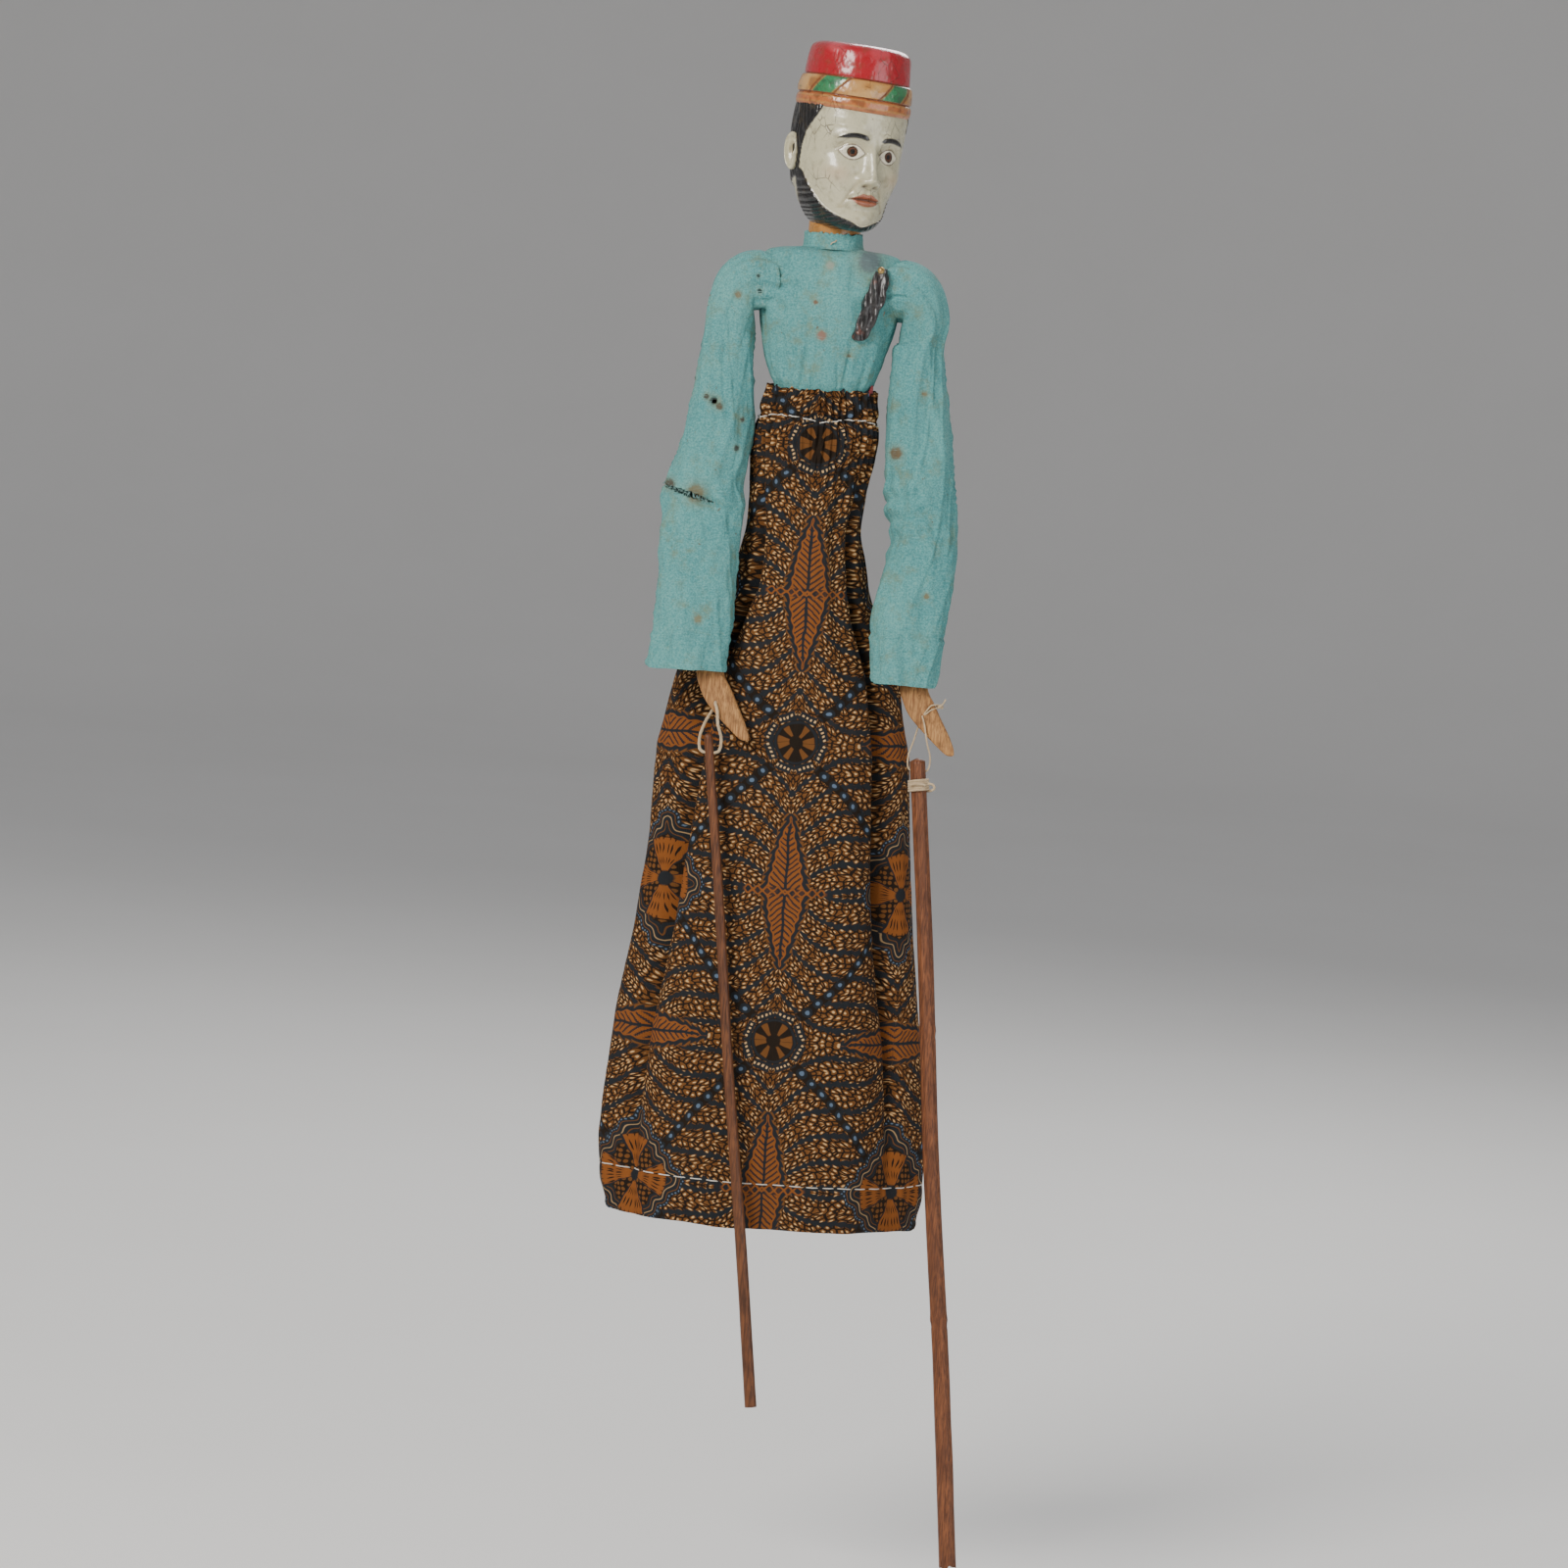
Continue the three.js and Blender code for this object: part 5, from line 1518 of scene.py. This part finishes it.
def make_head():
    """Carved and painted head with its ears and neck."""
    rows = smooth_path(SKULL, 30)
    turns = ring_turns(480)
    c, s = circle(turns)
    z = rows[:, 0:1] + 0 * c
    x, y = head_ring(turns, rows, 2.2)
    facing = smoothstep(0.05, 0.42, -s) + 0 * z
    forward, out = face_relief(x, z)
    hair, lock = hair_and_locks(turns, x, y, z)
    out = out * facing + hair * (0.9 + 0.55 * lock)
    knife = 0.16 * Noise(42)(x / 5, z / 4 + y / 6) + 0.07 * Noise(43)(x / 1.6 + y / 2, z / 1.4)
    out += knife
    grid = np.stack([x + c * out, y + s * out - forward * facing, z], -1)

    paint = paint_face(x, z, facing, hair)
    obj = solid_grid("head_carving", posed(grid), paint.value)
    dress(obj, "lacquer", "control_rod")
    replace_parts(obj, "head")
    for side in (-1, 1):
        make_ear(side)
    make_neck()


def make_ear(side):
    """Ear with a rolled rim, a hollow and a lobe, lying close to the head."""
    r = np.concatenate([np.linspace(0.02, 1, 30), np.linspace(0.97, 0.1, 10)])
    inner = np.arange(40) >= 30
    turns = ring_angles(96)
    c, s = np.cos(turns), np.sin(turns)
    shape = 1 - 0.22 * (s < -0.2) * (-s - 0.2) + 0.05 * c
    ry = 6.2 * r[:, None] * c * (0.82 + 0.18 * s) * shape
    rz = 12.3 * r[:, None] * s * shape
    rr = r[:, None] + 0 * c
    height = 1.6 + 1.8 * bump(rr, 0.86, 0.13) - 1.5 * bump(rr, 0.30, 0.3)
    height += 0.9 * bump(rr, 0.55, 0.1) * smoothstep(-0.2, 0.4, s)
    height += 1.2 * spot(ry + 3.6, 1.5, rz + 1, 2.2)
    height -= 0.6 * smoothstep(0.6, 1, -s) * bump(rr, 0.86, 0.13)
    height = np.where(inner[:, None], -1.5, height)
    tilt = math.radians(10)
    y = 7.0 + ry * math.cos(tilt) + rz * math.sin(tilt) * 0.6
    z = 43.5 + rz * math.cos(tilt) + ry * math.sin(tilt) * 0.5
    reach = 29.6 + height + 0.28 * (ry + 4)
    grid = np.stack([side * reach, y, z], -1)
    if side < 0:
        grid = grid[:, ::-1]
    paint = Painter(grid.shape[:2], "skin")
    hollow = bump(rr, 0.32, 0.22)
    paint.lay("shadow", (hollow if side > 0 else hollow[:, ::-1]) * 0.9)
    name = "left" if side > 0 else "right"
    dress(solid_grid(f"{name}_ear", posed(grid), paint.value), "lacquer", "control_rod")


def make_neck():
    heights = np.linspace(541, 580, 40)
    turns = ring_angles(96)
    cut = Noise(44)
    r = np.linspace(15.9, 14.9, 40)[:, None] + 0.22 * cut(turns * 3, heights[:, None] / 7)
    z = heights[:, None] + 0 * turns
    grid = np.stack([r * np.cos(turns), r * np.sin(turns), z], -1)
    paint = Painter(z.shape, "neck")
    paint.lay("brown", 0.5 * smoothstep(0.1, 0.7, cut(turns * 2 + 5, z / 6)))
    dress(solid_grid("neck_carving", grid, paint.value), "lacquer", "control_rod")


# Height, half width, front and back of the cap, from its rolled rim to the middle of its crown.
CAP_SIDE = [(72.2, 29.5, 32, 35.6), (72.6, 31.4, 34.2, 37.8), (75, 32.6, 35.4, 39),
            (78.6, 32.4, 35.2, 38.8), (80.2, 31.2, 34, 37.6), (81.2, 32, 34.8, 38.4),
            (85.5, 32, 34.6, 38.2), (90, 30.9, 33.4, 37), (91.2, 29.6, 32, 35.8),
            (92.4, 29.9, 32.3, 36.2), (99, 29.4, 31.8, 35.8), (105.6, 28.6, 30.9, 34.9),
            (109, 27, 29.2, 33.2), (110.9, 23.6, 25.8, 29.8), (111.5, 18, 20, 23.6), (111.7, 9, 10, 12),
            (111.6, 1.5, 1.6, 2)]


def make_cap():
    """Round carved cap: rolled rim, a band of painted leaves and lozenges, and a flat crown."""
    rows = smooth_path(CAP_SIDE, 9)
    turns = ring_turns(360)
    c, s = circle(turns)
    z = rows[:, 0:1] + 0 * c
    x, y = head_ring(turns, rows, 2.1)
    knife = 0.2 * Noise(51)(turns[None, :] / 9, z / 6) + 0.09 * Noise(52)(turns[None, :] / 2.6, z / 2)
    around = turns[None, :] - FRONT + 0 * z
    swing = (around + 60) % 80 - 40
    lozenge = 0.62 - np.abs(swing) / 40 + 0.04 * (z - 85.6) * np.sign(swing)
    band = smoothstep(80, 81, z) * smoothstep(91.2, 90.4, z)
    knife = knife + 0.45 * band * smoothstep(-0.05, 0.05, lozenge)
    x, y = x + c * knife, y + s * knife
    paint = Painter(z.shape, "red")
    worn = Noise(53)(turns[None, :] / 16, z / 9)
    paint.lay("pink", 0.45 * smoothstep(0.25, 0.8, worn))
    # Lighter pink round the top edge of the crown: painted highlight.
    paint.lay("pink", 0.5 * smoothstep(108.5, 110.5, z) * smoothstep(-0.6, 0.6, Noise(54)(x / 12, y / 12)))
    paint.lay("green", band)
    paint.lay("leaf", band * 0.7 * smoothstep(0.0, 0.6, Noise(55)(turns[None, :] / 7, z / 3)))
    paint.lay("gold", band * smoothstep(-0.1, 0.0, lozenge))
    # Painted glints and dark reflections on the gold lozenges: cream where the glint field is high, brown
    # where it is low.
    glint = Noise(57)(turns[None, :] / 11, z / 3.5)
    paint.lay("cream", 0.6 * band * smoothstep(0.12, 0.4, lozenge) * smoothstep(-0.3, 0.5, glint))
    paint.lay("brown", 0.5 * band * smoothstep(-0.1, 0.0, lozenge) * smoothstep(0.2, 0.7, -glint))
    paint.lay("brown", band * bump(lozenge, 0.02, 0.05))
    rim = smoothstep(81, 80.4, z)
    paint.lay("rim", rim)
    paint.lay("gold", rim * 0.75 * smoothstep(0.3, 0.8, np.sin(z * 1.7 + 0.9 * worn)))
    paint.lay("brown", rim * 0.6 * smoothstep(0.15, 0.7, Noise(56)(turns[None, :] / 5, z / 2)))
    paint.lay("brown", 0.8 * (bump(z, 80.3, 0.5) + bump(z, 91.2, 0.5)))
    obj = solid_grid("cap_carving", posed(np.stack([x, y, z], -1)), paint.value)
    dress(obj, "lacquer", "control_rod")
    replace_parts(obj, "cap")


# ------------------------------------------------------------------ building every piece
sarong, sarong_size = make_sarong()
sarong_trim = make_sarong_trim()
jacket, jacket_size = make_jacket_body()
make_collar()
sleeves = {side: make_sleeve(side) for side in SIGN}
make_frays(sleeves["right"]["lower"])
for side in SIGN:
    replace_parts(make_forearm(side), f"{side}_forearm")
    make_rod(side)
    make_loop(side)
make_lashing()
make_knot()
make_sash()
make_ornament()
make_head()
make_cap()

CARRIED_OVER = {
    "control_rod": "rod", "torso_block": "carved", "right_upper_arm": "carved",
    "left_upper_arm": "carved", "ornament_pin": "brass",
}
for name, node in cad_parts.items():
    node.data.materials.clear()
    node.data.materials.append(MATERIALS[CARRIED_OVER.get(name, "string")])
